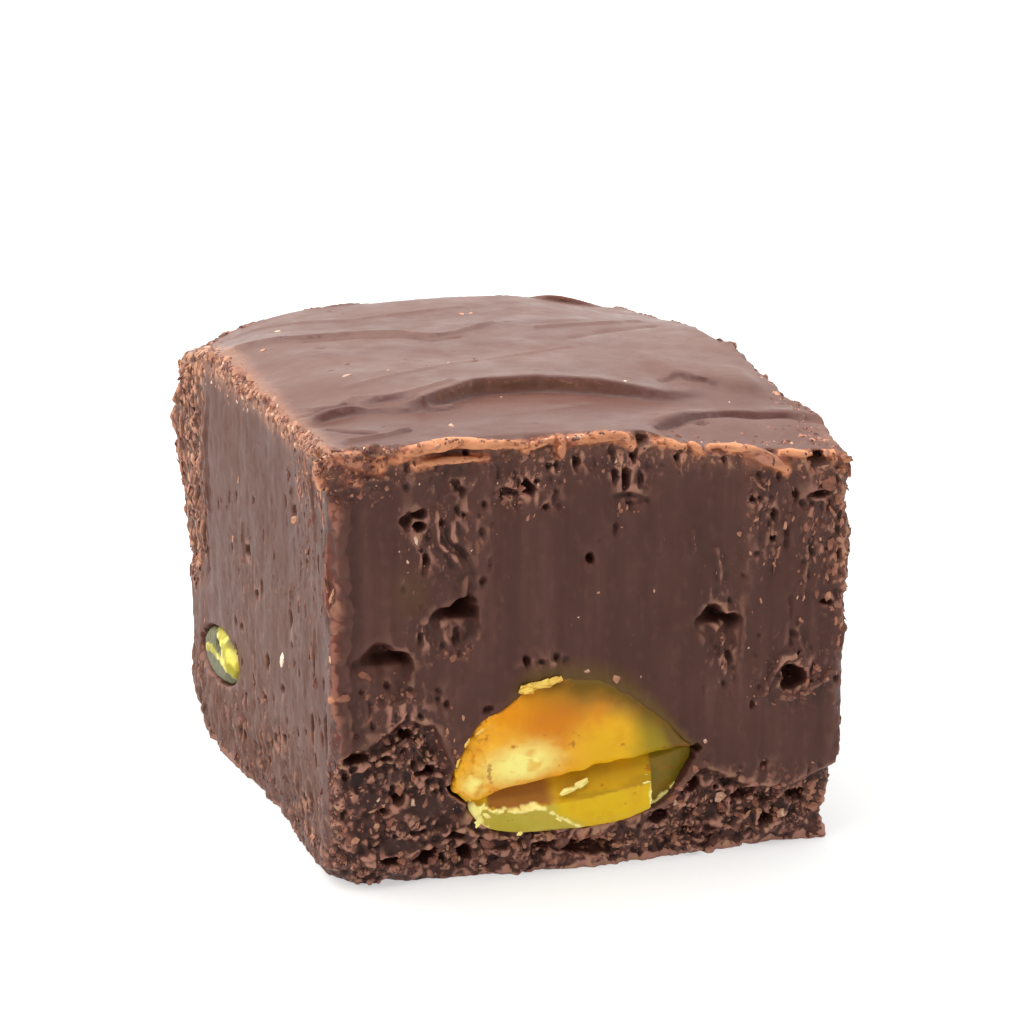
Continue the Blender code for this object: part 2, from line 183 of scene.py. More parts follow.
# Ridges and creases by side: half width, height (a crease is negative), then points across and up
SEAMS = [
    ("top", (0.5, 0.24, (1.8, 7.8), (2.9, 8.35), (4, 8.4), (5.6, 8.1), (6.9, 7.8), (8.5, 7.75), (9.6, 8)),
        (0.6, -0.24, (1.4, 9), (3.2, 9.1), (5.4, 8.9), (7.4, 8.5)), (0.4, 0.18, (1.6, 11), (2.6, 10),
        (3.6, 9.3), (4.5, 10.2), (6.2, 9.3), (7.7, 9.4), (10.5, 11.1)), (0.4, 0.14, (1.5, 26.4),
        (5.1, 25.6), (8.3, 26.2), (11.3, 25.6), (12.8, 23.6), (14.6, 24.2), (17.5, 26.4)), (0.3, -0.12,
        (5.1, 24.6), (8.3, 25.1), (11.3, 24.4), (12.6, 22.4), (14.4, 23)), (0.5, 0.12, (19.8, 24.3),
        (23.2, 24.7), (26.9, 25.8)), (0.5, -0.1, (20.9, 20.9), (24.1, 22.4), (27, 23.4)), (0.35, -0.1,
        (12.1, 5.6), (14.2, 6.3), (17.5, 7.6)), (0.4, -0.38, (2.1, 5.1), (2.9, 4), (4, 3.3)), (0.35, 0.22,
        (2.2, 1.7), (4, 2.2), (5.9, 3.3)), (0.35, -0.2, (19.4, 1.9), (21.1, 3.1), (22.4, 4.1),
        (24.4, 4.7), (25.9, 4.4), (28, 4.6), (29.6, 3.7)), (0.4, 0.08, (19.6, 2.9), (21.1, 4), (22.4, 5),
        (24.4, 5.6), (25.9, 5.2), (28, 5.4), (29.6, 4.5)), (0.3, 0.06, (5, 12.6), (12, 16), (20, 18.4)),
        (0.5, 0.08, (3, 33), (9, 31), (17, 32))),
    ("front", (0.3, 0.26, (6.5, 21), (6.6, 19.2), (7.5, 18.3), (8.1, 17.3), (7.9, 16.3)), (0.35, -0.22,
        (6.9, 20.6), (7.1, 19.4), (8, 18.5), (8.5, 17.4), (8.3, 16.2)), (0.22, 0.2, (1.2, 22.4),
        (2.6, 22.9), (3.9, 22.9)), (0.25, 0.22, (23.8, 14.2), (23.8, 12.6), (23.7, 11.5)), (0.2, 0.2,
        (8.75, 15.6), (8.75, 14.6), (8.7, 13.8)), (0.25, 0.2, (5.05, 13.2), (5.05, 12.2), (5, 11.4)),
        (0.2, 0.18, (20.8, 18.8), (20.8, 17.4)), (0.2, 0.18, (22.2, 17.6), (22.4, 16.4), (22.5, 15)),
        (0.25, 0.3, (24.1, 21.5), (24.6, 20.9), (25, 20.7)), (0.2, 0.26, (24.65, 19.9), (24.35, 19.1)),
        (0.2, 0.24, (25.5, 17.7), (25.5, 16.5)), (0.2, 0.26, (26.4, 19.2), (26.1, 18.6)), (0.22, -0.35,
        (26.3, 18.5), (26.25, 17.4)), (0.22, -0.4, (27.7, 17.9), (27.75, 16.9)), (0.18, 0.24,
        (27.5, 16.9), (27.35, 15.6), (27.3, 14.5)), (0.2, 0.26, (27.55, 19.1), (27.8, 20), (28.4, 19.95),
        (28.45, 19)), (0.2, 0.24, (27.2, 13.2), (26.95, 12.7), (27.45, 11.2)), (0.25, -0.22, (26.6, 14.6),
        (26.65, 11.9)), (0.2, 0.2, (22.6, 12.6), (22.7, 10.6)), (0.3, 0.3, (25, 9.2), (25.6, 10.4),
        (26.2, 11.2), (27.2, 11.2)), (0.3, 0.3, (26, 8.9), (27.2, 8.8), (28.2, 9.4), (29.2, 10))),
    ("left", (0.25, 0.2, (4.1, 22.1), (3.6, 20.4), (3.5, 18.9)), (0.2, 0.18, (1.4, 18.6), (1.3, 16.4)),
        (0.2, 0.16, (4.1, 13.8), (4.3, 11.6), (3.6, 10.8)), (0.2, 0.15, (9.4, 15), (9.9, 13)), (0.2, 0.16,
        (19.6, 16), (19.4, 13.6)), (0.25, 0.2, (27.4, 21.8), (27.8, 18), (27.2, 14.8)), (0.2, -0.12,
        (26.8, 22), (27.2, 18.4), (26.7, 15.6))),
    ("right", (0.25, 0.2, (6, 21), (6.2, 17.5)), (0.2, 0.2, (12.5, 17), (12.3, 13.2)), (0.25, 0.2,
        (20, 20.5), (20.3, 16)), (0.2, 0.2, (31, 19), (30.6, 14))),
    ("back", (0.25, 0.2, (5, 20), (5.2, 16.5)), (0.2, 0.2, (16.5, 13), (16.4, 9.6)), (0.25, 0.2,
        (24, 20.5), (24.2, 15.5))),
]

# Steps in the poured top: rise, width, how far behind they fade, then points of x and y
TOP_STEPS = [
    (0.35, 2.2, 6, (22.6, 9.6), (24.4, 8.9), (25.8, 9.3), (26.8, 8.4), (28.8, 7.8)), (0.2, 0.4, 4,
    (18.5, 1.2), (21.1, 3.2), (22.4, 4.2), (24.4, 4.8), (25.9, 4.5), (28, 4.7), (30, 3.7)), (0.12, 0.8, 4,
    (0.5, 25.6), (5.1, 24.9), (8.3, 25.3), (11.3, 24.6), (12.6, 22.6), (17, 25.6)),
]

# Where the lips lie from the points below, and how far back the skin behind them reaches
LIP_SHIFT = (0, -0.22, 0.05)
LIP_ROOT = (0, 0.15, -0.02)

# Curled lips of skin along the top front edge: radius, then points of x, y and z
LIPS = [
    (0.32, (3.9, 0.6, 23.6), (4.8, 0.15, 24.1), (6.3, -0.1, 24.42), (7.6, -0.15, 24.5),
    (9.4, -0.1, 24.35), (11.4, 0.1, 24.1)), (0.22, (5.3, 0.3, 23.4), (6.4, 0, 23.6), (7.6, -0.05, 23.65),
    (9.3, 0.2, 23.5)), (0.26, (11.2, 0.3, 23.9), (12, 0.1, 24.2), (12.9, 0.3, 24.3)), (0.34,
    (13.3, 0.6, 24.2), (13.3, 0.05, 24), (13.25, 0.2, 23.3)), (0.26, (13.7, 0.4, 24.1), (15.1, 0.1, 24.2),
    (16.4, 0.15, 24.3), (17, 0.2, 24), (17.4, 0.4, 23.5)), (0.15, (14, 0.3, 24), (15, 0, 24.1),
    (16.2, 0.2, 24.1)), (0.18, (3.5, 0.6, 24.2), (3.5, -0.05, 23.8), (3.5, 0.3, 23.1)), (0.45,
    (0.9, 0.6, 24), (1.7, 0.1, 24.1), (2.5, 0.1, 23.8), (2.9, 0.4, 23.3)), (0.35, (0.5, 0.9, 23.9),
    (0.3, 0.6, 23.3), (0.5, 0.4, 22.4)), (0.3, (1.5, 0.5, 23.2), (2, 0.2, 22.9), (2.6, 0.5, 22.6)), (0.32,
    (0.6, 1.6, 24.1), (0.4, 2.6, 24), (0.6, 3.6, 24)), (0.22, (22.6, 36, 25.25), (24.1, 36.1, 25.35),
    (26, 36.1, 25), (28.3, 36, 24.3)), (0.24, (18.5, 0.5, 23.7), (19.4, 0.2, 23.7), (20.2, 0.3, 23.4)),
    (0.26, (20.6, 0.5, 23.5), (20.9, 0.15, 23.4), (21.2, 0.3, 22.9)), (0.27, (21.7, 0.5, 23.3),
    (22.6, 0.1, 23.2), (23.7, 0.1, 23.1), (24.7, 0.3, 22.8)), (0.4, (22.9, 0.35, 23.2),
    (24.2, 0.15, 22.8), (25.3, 0.1, 22.2), (26.2, 0.3, 21.7)), (0.25, (25.8, 0.5, 22.7),
    (26.8, 0.3, 22.55), (27.8, 0.5, 22.4)), (0.32, (28.5, 0.6, 22.4), (29.3, 0.35, 22.3),
    (29.65, 0.4, 21.5)), (0.16, (0.9, 0.95, 20.2), (0.75, 0.9, 18), (0.74, 0.95, 15.8), (0.88, 1, 14.6)),
    (0.42, (0.9, 1.3, 17.9), (1.4, 0.55, 16.4), (1.45, 0.5, 14.8), (1.2, 0.6, 13.4), (0.9, 1.3, 12.6)),
    (0.38, (1, 1.4, 12.4), (1.2, 0.6, 11), (1.4, 0.6, 9.2), (1.7, 1.3, 7.9)),
]

# How crumbs fall on a side or an edge: where its line starts, across, up and inward
CASTS = {
    "front": ((0, 0, 0), (1, 0, 0), (0, 0, 1), (0, 1, 0)),
    "back": ((0, DEPTH, 0), (1, 0, 0), (0, 0, 1), (0, -1, 0)),
    "left": ((0, 0, 0), (0, 1, 0), (0, 0, 1), (1, 0, 0)),
    "right": ((WIDTH, 0, 0), (0, 1, 0), (0, 0, 1), (-1, 0, 0)),
    "top": ((0, 0, HEIGHT), (1, 0, 0), (0, 1, 0), (0, 0, -1)),
    "front top": ((0, 0, HEIGHT), (1, 0, 0), (0, 1, 1), (0, 1, -1)),
    "left top": ((0, 0, HEIGHT), (0, 1, 0), (1, 0, 1), (1, 0, -1)),
    "right top": ((WIDTH, 0, HEIGHT), (0, 1, 0), (-1, 0, 1), (-1, 0, -1)),
    "back top": ((0, DEPTH, HEIGHT), (1, 0, 0), (0, -1, 1), (0, -1, -1)),
    "front left": ((0, 0, 0), (1, -1, 0), (0, 0, 1), (1, 1, 0)),
    "front right": ((WIDTH, 0, 0), (1, 1, 0), (0, 0, 1), (-1, 1, 0)),
    "front foot": ((0, 0, 0), (1, 0, 0), (0, -1, 1), (0, 1, 1)),
    "left foot": ((0, 0, 0), (0, 1, 0), (-1, 0, 1), (1, 0, 1)),
}

# The casts along an edge, where crumbs are finer
EDGE_CASTS = ("left top", "right top", "back top", "front right", "front left")

# Drifts of crumbs by cast: across, up, half spreads, count, size, upright stretch, palest tone
DRIFTS = [
    ("left top", (18, 0.1, 18, 0.5, 800, 0.24, 1, 0.9), (5.5, -1.2, 4.5, 1.3, 200, 0.2, 1.8, 0.8),
        (25, -0.3, 7, 0.9, 260, 0.24, 1, 0.95)),
    ("left", (33, 15.5, 3.2, 7, 260, 0.13, 2.8, 0.75), (34, 22, 2.5, 2, 200, 0.19, 1.2, 0.85),
        (34, 10, 2.2, 1.6, 120, 0.2, 1.2, 0.8), (4.5, 17.5, 3.5, 5.5, 90, 0.12, 2.8, 0.7),
        (14, 14, 9, 7, 70, 0.1, 2.2, 0.65), (13, 5, 11, 3.2, 190, 0.13, 1.3, 0.55),
        (22, 3.5, 2.5, 1.5, 30, 0.14, 1.2, 0.7)),
    ("front left", (0.3, 16, 0.3, 7, 60, 0.14, 2.4, 0.9), (0.2, 5, 0.7, 4.5, 150, 0.18, 1.2, 0.65)),
    ("front top", (2, -0.4, 1.8, 0.8, 110, 0.15, 1, 0.75)),
    ("front", (1.5, 23, 1.3, 0.8, 60, 0.13, 1, 0.75), (2.6, 22, 1.8, 0.5, 36, 0.14, 1.2, 0.7)),
    ("front top", (15, -0.1, 14.5, 0.3, 200, 0.13, 1, 0.9)),
    ("front", (15, 23.4, 14, 0.4, 110, 0.12, 1.2, 0.7), (10.3, 21.4, 1, 0.7, 46, 0.13, 1, 0.7),
        (11.8, 22.6, 1.2, 0.5, 16, 0.11, 1.2, 0.7), (17, 20.2, 0.7, 0.4, 14, 0.1, 1.2, 0.8),
        (17.1, 22.3, 0.4, 0.8, 12, 0.1, 1.6, 0.65), (6, 20.6, 1, 0.6, 16, 0.1, 1.2, 0.7),
        (4, 11, 1.3, 0.4, 34, 0.14, 1, 0.65), (7.3, 13.1, 1.2, 0.35, 30, 0.12, 1, 0.65),
        (22.7, 11.6, 0.15, 1, 9, 0.1, 1.8, 0.75), (22.6, 12.6, 0.4, 0.3, 8, 0.13, 1, 0.7),
        (27, 10, 2, 1.3, 90, 0.15, 1.1, 0.7), (24.6, 9.6, 0.7, 0.7, 14, 0.12, 1, 0.65),
        (24.5, 20.4, 0.7, 1.4, 28, 0.12, 1.6, 0.65), (25.6, 17.4, 0.4, 1.4, 14, 0.1, 2.4, 0.7),
        (26.3, 19.6, 0.3, 1.2, 16, 0.1, 2.2, 0.7), (28.2, 18, 0.9, 3, 70, 0.13, 2, 0.7)),
    ("front right", (0, 16, 0.6, 7, 260, 0.18, 1.8, 0.75), (0, 21.5, 0.8, 1.6, 120, 0.21, 1, 0.8)),
    ("front", (28, 21.8, 1.3, 1, 70, 0.16, 1, 0.7), (20.8, 18, 0.15, 0.8, 5, 0.08, 2, 0.75),
        (22.4, 16.4, 0.2, 1.2, 7, 0.08, 2.2, 0.75), (15, 15, 13, 8, 50, 0.08, 1.4, 0.9),
        (6.5, 19, 2.5, 3, 40, 0.1, 1.4, 0.95), (11.5, 21.6, 2.2, 1.4, 40, 0.1, 1.4, 0.95),
        (26, 18.5, 3, 4.5, 50, 0.13, 1.5, 0.85), (15, 22.8, 13, 0.7, 90, 0.1, 1.3, 0.95),
        (4.4, 5.4, 3.6, 4.2, 210, 0.15, 1.2, 0.9), (5.4, 8, 1.5, 1.6, 60, 0.14, 1.2, 0.8),
        (24.5, 2.9, 5, 1.8, 300, 0.2, 1, 0.85), (13.5, 1.3, 7, 0.7, 200, 0.2, 1, 0.85),
        (13, 1.9, 3.6, 0.3, 46, 0.26, 1, 0.8), (20.8, 4.4, 1.1, 0.8, 40, 0.15, 1, 0.65)),
    ("front foot", (15, 0.3, 14.5, 0.4, 220, 0.17, 1, 0.6), (4, 0.2, 3, 0.4, 90, 0.2, 1, 0.85)),
    ("left foot", (18, 0.4, 17, 0.5, 230, 0.17, 1, 0.6)),
    ("right top", (18, 0, 18, 0.5, 420, 0.2, 1, 0.85), (18.6, 0.3, 1.2, 0.4, 40, 0.3, 1, 0.95)),
    ("back top", (15, 0, 14.5, 0.5, 360, 0.2, 1, 0.85)),
    ("right", (18, 12, 16, 9, 190, 0.11, 2, 0.65), (18, 3.6, 17, 2.4, 260, 0.16, 1.1, 0.6),
        (22.5, 8.4, 1.5, 0.5, 30, 0.14, 1, 0.65), (9, 13, 1.2, 0.5, 26, 0.14, 1, 0.65)),
    ("back", (15, 12, 14, 9, 170, 0.11, 2, 0.65), (15, 3.4, 14, 2.2, 220, 0.16, 1.1, 0.6),
        (8, 10.6, 1.5, 0.6, 26, 0.14, 1, 0.65)),
    ("top", (15, 18, 14, 17, 40, 0.06, 1, 0.75)),
]

# Single crumbs that stand out, by cast: across, up, size, upright stretch, tone
SINGLES = [
    # The near-white crumb at 11.85, 16.4 on the top is a painted glint.
    ("top", (16.6, 29.8, 0.32, 0.5, 0.8), (17.2, 29.9, 0.26, 0.6, 0.8), (11.85, 16.4, 0.18, 1.6, 0.97),
        (8.4, 3.7, 0.28, 0.4, 0.85), (6.3, 18.1, 0.2, 0.5, 0.3), (5.4, 14.7, 0.17, 1.8, 0.85),
        (4.75, 30, 0.24, 0.5, 0.85), (2.7, 24.3, 0.2, 0.5, 0.8), (15.7, 13.2, 0.14, 0.7, 0.3),
        (13.6, 17, 0.12, 0.8, 0.3), (7.95, 15.2, 0.12, 0.8, 0.85), (13.1, 10, 0.12, 0.7, 0.95),
        (25.8, 7.6, 0.13, 0.8, 0.95), (20.3, 9.7, 0.16, 1.2, 0.9)),
    ("left", (11.1, 10.1, 0.52, 1.3, 1), (8.8, 18.8, 0.34, 0.8, 0.8), (20.2, 18.3, 0.22, 1.4, 0.8),
        (21.8, 14.4, 0.2, 1.2, 0.8)),
    ("right top", (19.6, 0.3, 0.5, 1, 0.8), (18.4, 0.2, 0.55, 1.3, 0.85), (17.6, 0, 0.4, 1, 0.75)),
    ("front", (28.6, 20.9, 0.5, 1, 0.5), (2.6, 12.2, 0.42, 1.2, 0.5), (1.2, 11.2, 0.4, 1.3, 0.55),
        (15.1, 1.75, 0.36, 0.7, 0.6), (14.8, 11.5, 0.18, 1, 0.85), (16.5, 10.9, 0.3, 0.4, 0.75),
        (24.13, 17.24, 0.14, 0.8, 0.85), (28.25, 17.72, 0.12, 1.2, 0.85), (25.5, 16.5, 0.12, 1.6, 0.8),
        (24.34, 19.1, 0.12, 2.2, 0.8), (26.1, 18.65, 0.11, 2.2, 0.8), (27.3, 14.5, 0.11, 1.8, 0.85),
        (28.6, 16.5, 0.2, 1.3, 0.65), (28.7, 15.5, 0.24, 1.3, 0.65), (28.8, 14.4, 0.26, 0.5, 0.75),
        (29, 13.7, 0.2, 0.8, 0.65), (26.7, 20, 0.2, 0.4, 0.75), (27.2, 13.2, 0.22, 0.5, 0.7),
        (24.05, 21.4, 0.17, 1, 0.75)),
]

# Smooth patches in the broken band of the front: x, z and half spreads
CALM_PATCHES = [
    (5.9, 4.5, 1.9, 1.1), (2.6, 8.6, 1, 1.4), (2.7, 5, 1.2, 0.8), (2.3, 3.5, 1.3, 0.7),
    (4.2, 2.3, 1.5, 0.7), (3.9, 6.3, 0.9, 0.6), (7.5, 3.4, 1.1, 0.6), (1.5, 6.3, 0.6, 0.9),
    (7, 1.9, 0.8, 0.5), (10, 1.9, 1.3, 0.5), (22.3, 2.4, 1.1, 0.6), (26.6, 2.4, 1.3, 0.7),
    (28.9, 3.4, 0.8, 1.4), (17.6, 1.7, 1, 0.5),
]

# What is bright on the left kernel: half width, then points of y and z
LEFT_BRIGHT = [
    (0.6, (26.6, 7.6), (24.7, 7.5), (22.8, 7.35), (21.6, 6.95), (21.2, 6.4), (21.5, 6)), (0.4,
    (24.5, 7.2), (23.7, 6.9), (23, 6.5), (22.3, 6.3)), (0.3, (28.9, 5.6), (27.2, 5.95), (26.2, 5.95),
    (25, 6.1), (23.3, 6.3), (22, 6.3)),
]
LEFT_GAP = (25.6, 6.7, 1.1, 0.4)

# The lowest that a crumb reaches and may lie, and how it is cast at the block from outside
FLOOR_GAP = 0.03
LOWEST_CRUMB = 0.25
CAST_START = 8
CAST_REACH = 12.5

PIT_SEED = 31
CRUMB_SEED = 7
CHIP_SEEDS = (3, 5)
KERNEL_VOXEL = 0.09
KERNEL_TRIANGLES = 40000
LEFT_TRIANGLES = 30000
LEVELS = 8
VOXEL = 0.1
BLOCK_TRIANGLES = 198000


def each(table):
    """The rows of a table, each after the side or cast that its group names."""
    for place, *rows in table:
        for row in rows:
            yield place, *row


def smooth(low, high, value):
    """0 at low, 1 at high and a soft S between; low may be the larger one."""
    part = np.clip((value - low) / (high - low), 0, 1)
    return part * part * (3 - 2 * part)


def bump(value, centre, half_width):
    """1 at the centre, falling softly to 0 at half_width on both sides."""
    return smooth(1, 0, np.abs(value - centre) / half_width)


def blob(across, up, across_at, up_at, half_width, half_height):
    """1 in the middle of an oval patch, falling softly to 0 on its rim."""
    return smooth(1, 0, np.hypot((across - across_at) / half_width, (up - up_at) / half_height))


def soft_line(at, stations, values, width):
    """A bent line through stations, with its corners rounded over a width."""
    total = np.zeros(len(at))
    for shift, weight in ((-1, 0.15), (-0.5, 0.2), (0, 0.3), (0.5, 0.2), (1, 0.15)):
        total += weight * np.interp(at + shift * width, stations, values)
    return total


def hashed(cells, seed):
    """A repeatable number from 0 to 1 for each row of whole-number cells."""
    cells = cells.astype(np.int64)
    mixed = cells[:, 0] * 374761393 + cells[:, 1] * 668265263 + cells[:, 2] * 1440662683 + seed * 974711
    mixed = (mixed ^ (mixed >> 13)) * 1274126177
    return ((mixed ^ (mixed >> 16)) & 0xFFFFF) / float(0xFFFFF)


def waves(points, cell, seed):
    """Soft noise from -1 to 1 whose hills are about one cell apart."""
    scaled = points / np.asarray(cell)
    base = np.floor(scaled)
    part = smooth(0, 1, scaled - base)
    total = np.zeros(len(points))
    for corner in range(8):
        step = np.array([(corner >> axis) & 1 for axis in range(3)])
        weight = np.prod(np.where(step == 1, part, 1 - part), axis=1)
        total += weight * hashed(base + step, seed)
    return 2 * total - 1


def grains(scaled, seed):
    """The cell of each of the 27 grains around the points, and its squared distance."""
    base = np.floor(scaled)
    for neighbour in range(27):
        cells = base + np.array([neighbour % 3, neighbour // 3 % 3, neighbour // 9]) - 1
        grain = cells + np.stack([hashed(cells, seed + axis) for axis in range(3)], axis=1)
        yield cells, ((scaled - grain) ** 2).sum(axis=1)


def lumps(points, cell, seed):
    """Rounded grains about one cell across: 1 on top of a grain, 0 in the cracks between."""
    nearest = np.full(len(points), 9)
    for _, squared in grains(points / cell, seed):
        nearest = np.minimum(nearest, squared)
    return np.clip(1 - nearest, 0, 1)


def clods(points, cell, seed):
    """Broken clods about one cell across, each at its own height: from -0.5 in the gaps to 0.5."""
    cell = np.ones(3) * cell
    bent = [waves(points, 0.8 * cell, seed + 7 * axis) for axis in range(3)]
    nearest = second = np.full(len(points), 9)
    height = np.zeros(len(points))
    for cells, squared in grains(points / cell + 0.3 * np.stack(bent, axis=1), seed):
        distance = np.sqrt(squared)
        nearer = distance < nearest
        second = np.where(nearer, nearest, np.minimum(second, distance))
        height = np.where(nearer, hashed(cells, seed + 5), height)
        nearest = np.where(nearer, distance, nearest)
    return 0.55 * height + 0.45 * smooth(0, 0.3, second - nearest) - 0.5


def only(mask, worker, points, *rest):
    """Works out a noise only where a mask is set, and gives 0 elsewhere."""
    found = np.zeros(len(points))
    if mask.any():
        found[mask] = worker(points[mask], *rest)
    return found


def rounded_block(unit):
    """Points of a cube of -1 to 1 moved on to the rounded block, with their outward directions."""
    half = np.array([WIDTH / 2, DEPTH / 2, (HEIGHT + BELOW_TABLE) / 2])
    left = smooth(0.2, 1, -unit[:, 0])
    back_corner = left * smooth(0.2, 1, unit[:, 1]) * smooth(0.9, -0.7, unit[:, 2])
    foot_corner = left * smooth(0.5, 1, -unit[:, 1]) * smooth(-0.5, -1, unit[:, 2])
    radius = CUT_EDGE_RADIUS + (BACK_CORNER_RADIUS - CUT_EDGE_RADIUS) * back_corner[:, None] ** 2
    radius += (FOOT_CORNER_RADIUS - CUT_EDGE_RADIUS) * foot_corner[:, None]
    spread = unit * half
    inner = np.clip(spread, radius - half, half - radius)
    outward = spread - inner
    outward /= np.linalg.norm(outward, axis=1)[:, None]
    return inner + outward * radius + half * (1, 1, 1) - (0, 0, BELOW_TABLE), outward


def top_offset(x, y):
    """How far the poured top lies above the nominal height."""
    fold_y = np.interp(x, FOLD_X, FOLD_Y)
    fold_part = np.interp(x, FOLD_X, FOLD_PART)
    raised = FOLD_HEIGHT * fold_part * smooth(fold_y, fold_y + FOLD_WIDTH, y)
    behind = FOLD_HEIGHT * (1 - fold_part) * smooth(4, 22, y)
    swell = BACK_SWELL * bump(x, 18, 12) * smooth(12, DEPTH, y)
    roll = LEFT_ROLL * smooth(5, 0, x) * smooth(4, 12, y)
    fall = FRONT_RIGHT_FALL * smooth(15, 31, x) * smooth(20, 0, y)
    apron = APRON_FALL * smooth(17.5, 21, x) * smooth(APRON_DEPTH, 0, y)
    corners = BACK_LEFT_FALL * smooth(9, 0, x) * smooth(26, DEPTH, y)
    corners += BACK_RIGHT_FALL * smooth(21, WIDTH, x) * smooth(22, DEPTH, y)
    return raised + behind + swell - roll - fall - apron - corners


def top_steps(x, y):
    """The smaller steps of the poured top, each fading out behind its line and at its ends."""
    total = np.zeros(len(x))
    for rise, width, fade, *path in TOP_STEPS:
        line_x, line_y = zip(*path)
        line = soft_line(x, line_x, line_y, 0.4)
        ends = smooth(line_x[0], line_x[0] + 1.5, x) * smooth(line_x[-1] + 0.6, line_x[-1] - 0.9, x)
        total += rise * ends * smooth(line, line + width, y) * smooth(line + width + fade, line + width, y)
    return total


def left_offset(y, z):
    """How far the left side lies inside the nominal width."""
    flank = 0.75 - 1.25 * smooth(6, DEPTH, y)
    foot = 0.5 * smooth(6, 0, z) * bump(y, 12, 12)
    burr = 0.35 * bump(z, 19.5, 4.5) * smooth(31, DEPTH, y)
    return flank + foot - burr


def right_offset(y, z):
    """How far the right side lies outside the nominal width."""
    burr = 0.4 * bump(z, 18.3, 3) * smooth(5, 0, y)
    return burr - 0.1 - 0.9 * smooth(8, 0, z)


def front_offset(x, z):
    """How far the front lies behind the nominal face."""
    below_skin = np.interp(x, SKIN_X, SKIN_Z) - z
    recess = SKIN_RECESS * smooth(0, SKIN_STEP, below_skin)
    return recess * (1 - 0.5 * bump(x, 14.3, 8)) + FOOT_INSET * smooth(3, 0, z)


def strip_part(points):
    """1 on the smeared burr that runs down the front's left edge."""
    x, y, z = points.T
    edge = 1.25 + 0.3 * waves(points, (9, 9, 1.3), 91) + 0.12 * waves(points, (9, 9, 0.4), 93)
    return smooth(edge, edge - 0.25, x) * (y < 1.2) * smooth(6.5, 8, z) * smooth(22.4, 21.4, z)


def calm_part(x, z):
    """1 on the smooth patches of the broken band, 0 around them."""
    total = np.zeros(len(x))
    for across, up, half_width, half_height in CALM_PATCHES:
        total = np.maximum(total, smooth(0, 0.6, blob(x, z, across, up, half_width, half_height)))
    return total


def crumbliness(points, facing):
    """1 where the fudge is broken or crumbly, 0 on smeared or poured skin."""
    x, y, z = points.T
    low_front = smooth(0, SKIN_STEP, np.interp(x, SKIN_X, SKIN_Z) - z) * facing["front"]
    low_front *= 1 - 0.85 * calm_part(x, z)
    low_left = 0.4 * smooth(8, 2.5, z) * facing["left"]
    back_left = 0.6 * smooth(28.5, 31.5, y + 0.2 * (z - 16)) * smooth(8.5, 10.5, z) * facing["left"]
    hidden = 0.6 * smooth(10, 3, z) * (facing["back"] + facing["right"])
    return np.clip(low_front + low_left + back_left + hidden, 0, 1)


def hollow(points, facing, side, across_at, up_at, half_width, half_height, depth, wall=0):
    """Sinks an uneven hollow with a sloping floor, under a sharp brow and beside a steep wall."""
    across_axis, up_axis, depth_axis, inward = SIDES[side]
    across = (points[:, across_axis] - across_at) / half_width
    up = (points[:, up_axis] - up_at) / half_height
    near = np.flatnonzero((np.abs(across) < 1.6) & (np.abs(up) < 1.6) & (facing[side] > 0))
    across, up, local = across[near], up[near], points[near]
    turn = np.arctan2(up, across)
    phase = 7.3 * across_at + 3.1 * up_at
    lobes = 1 + 0.15 * np.cos(2 * turn + phase) + 0.13 * np.cos(3 * turn + 2 * phase)
    lobes += 0.09 * np.cos(5 * turn - phase)
    size = min(half_width, half_height)
    ragged = 0.14 * waves(local, 0.45 * size + 0.15, 41) + 0.06 * waves(local, 0.25, 43)
    reach = np.hypot(across, up) / lobes + ragged
    rim = min(0.16 / size, 0.45)
    inside = smooth(1 + 0.3 * rim, 1 - 0.7 * rim, reach) * facing[side][near]
    shelf = 0.06 + 0.17 * np.clip(up + 1, 0, 2) + 0.6 * smooth(0.15, 0.55, up)
    floor = shelf if wall else 0.4 + 0.6 * smooth(-0.9, 0.4, up)
    gentle = 1 - 0.7 * wall * smooth(0.6, -1, across)
    uneven = 1 + 0.25 * waves(local, 0.7, 45)
    local[:, depth_axis] += inward * depth * inside * floor * gentle * uneven
    local[:, up_axis] -= 0.25 * half_height * inside * smooth(0.4, 0.9, up)
    points[near] = local


def small_pits():
    """Small upright pits scattered in their fields, as rows like those of the hollows."""
    rng = np.random.default_rng(PIT_SEED)
    for side, across, up, half_across, half_up, count in each(PIT_FIELDS):
        for _ in range(count):
            place_across = across + half_across * rng.uniform(-1, 1)
            place_up = up + half_up * rng.uniform(-1, 1)
            wide = 0.08 + 0.11 * rng.random() ** 2
            tall = wide * rng.uniform(0.9, 3.6)
            yield side, place_across, place_up, wide, tall, rng.uniform(0.25, 0.7)


def pitted(points, facing):
    """1 in the middle of the fields of small pits, falling to 0 around them."""
    total = np.zeros(len(points))
    for side, across, up, half_across, half_up, _ in each(PIT_FIELDS):
        places = points[:, SIDES[side][0]], points[:, SIDES[side][1]]
        zone = blob(*places, across, up, 1.5 * half_across, 1.5 * half_up)
        total = np.maximum(total, zone * facing[side])
    return total


def line_distance(across, up, path):
    """How far points of a side lie from a bent line."""
    nearest = np.full(len(across), 99)
    for (across_0, up_0), (across_1, up_1) in zip(path, path[1:]):
        run = np.array((across_1 - across_0, up_1 - up_0))
        part = np.clip(((across - across_0) * run[0] + (up - up_0) * run[1]) / (run @ run), 0, 1)
        nearest = np.minimum(nearest, np.hypot(across - across_0 - part * run[0], up - up_0 - part * run[1]))
    return nearest


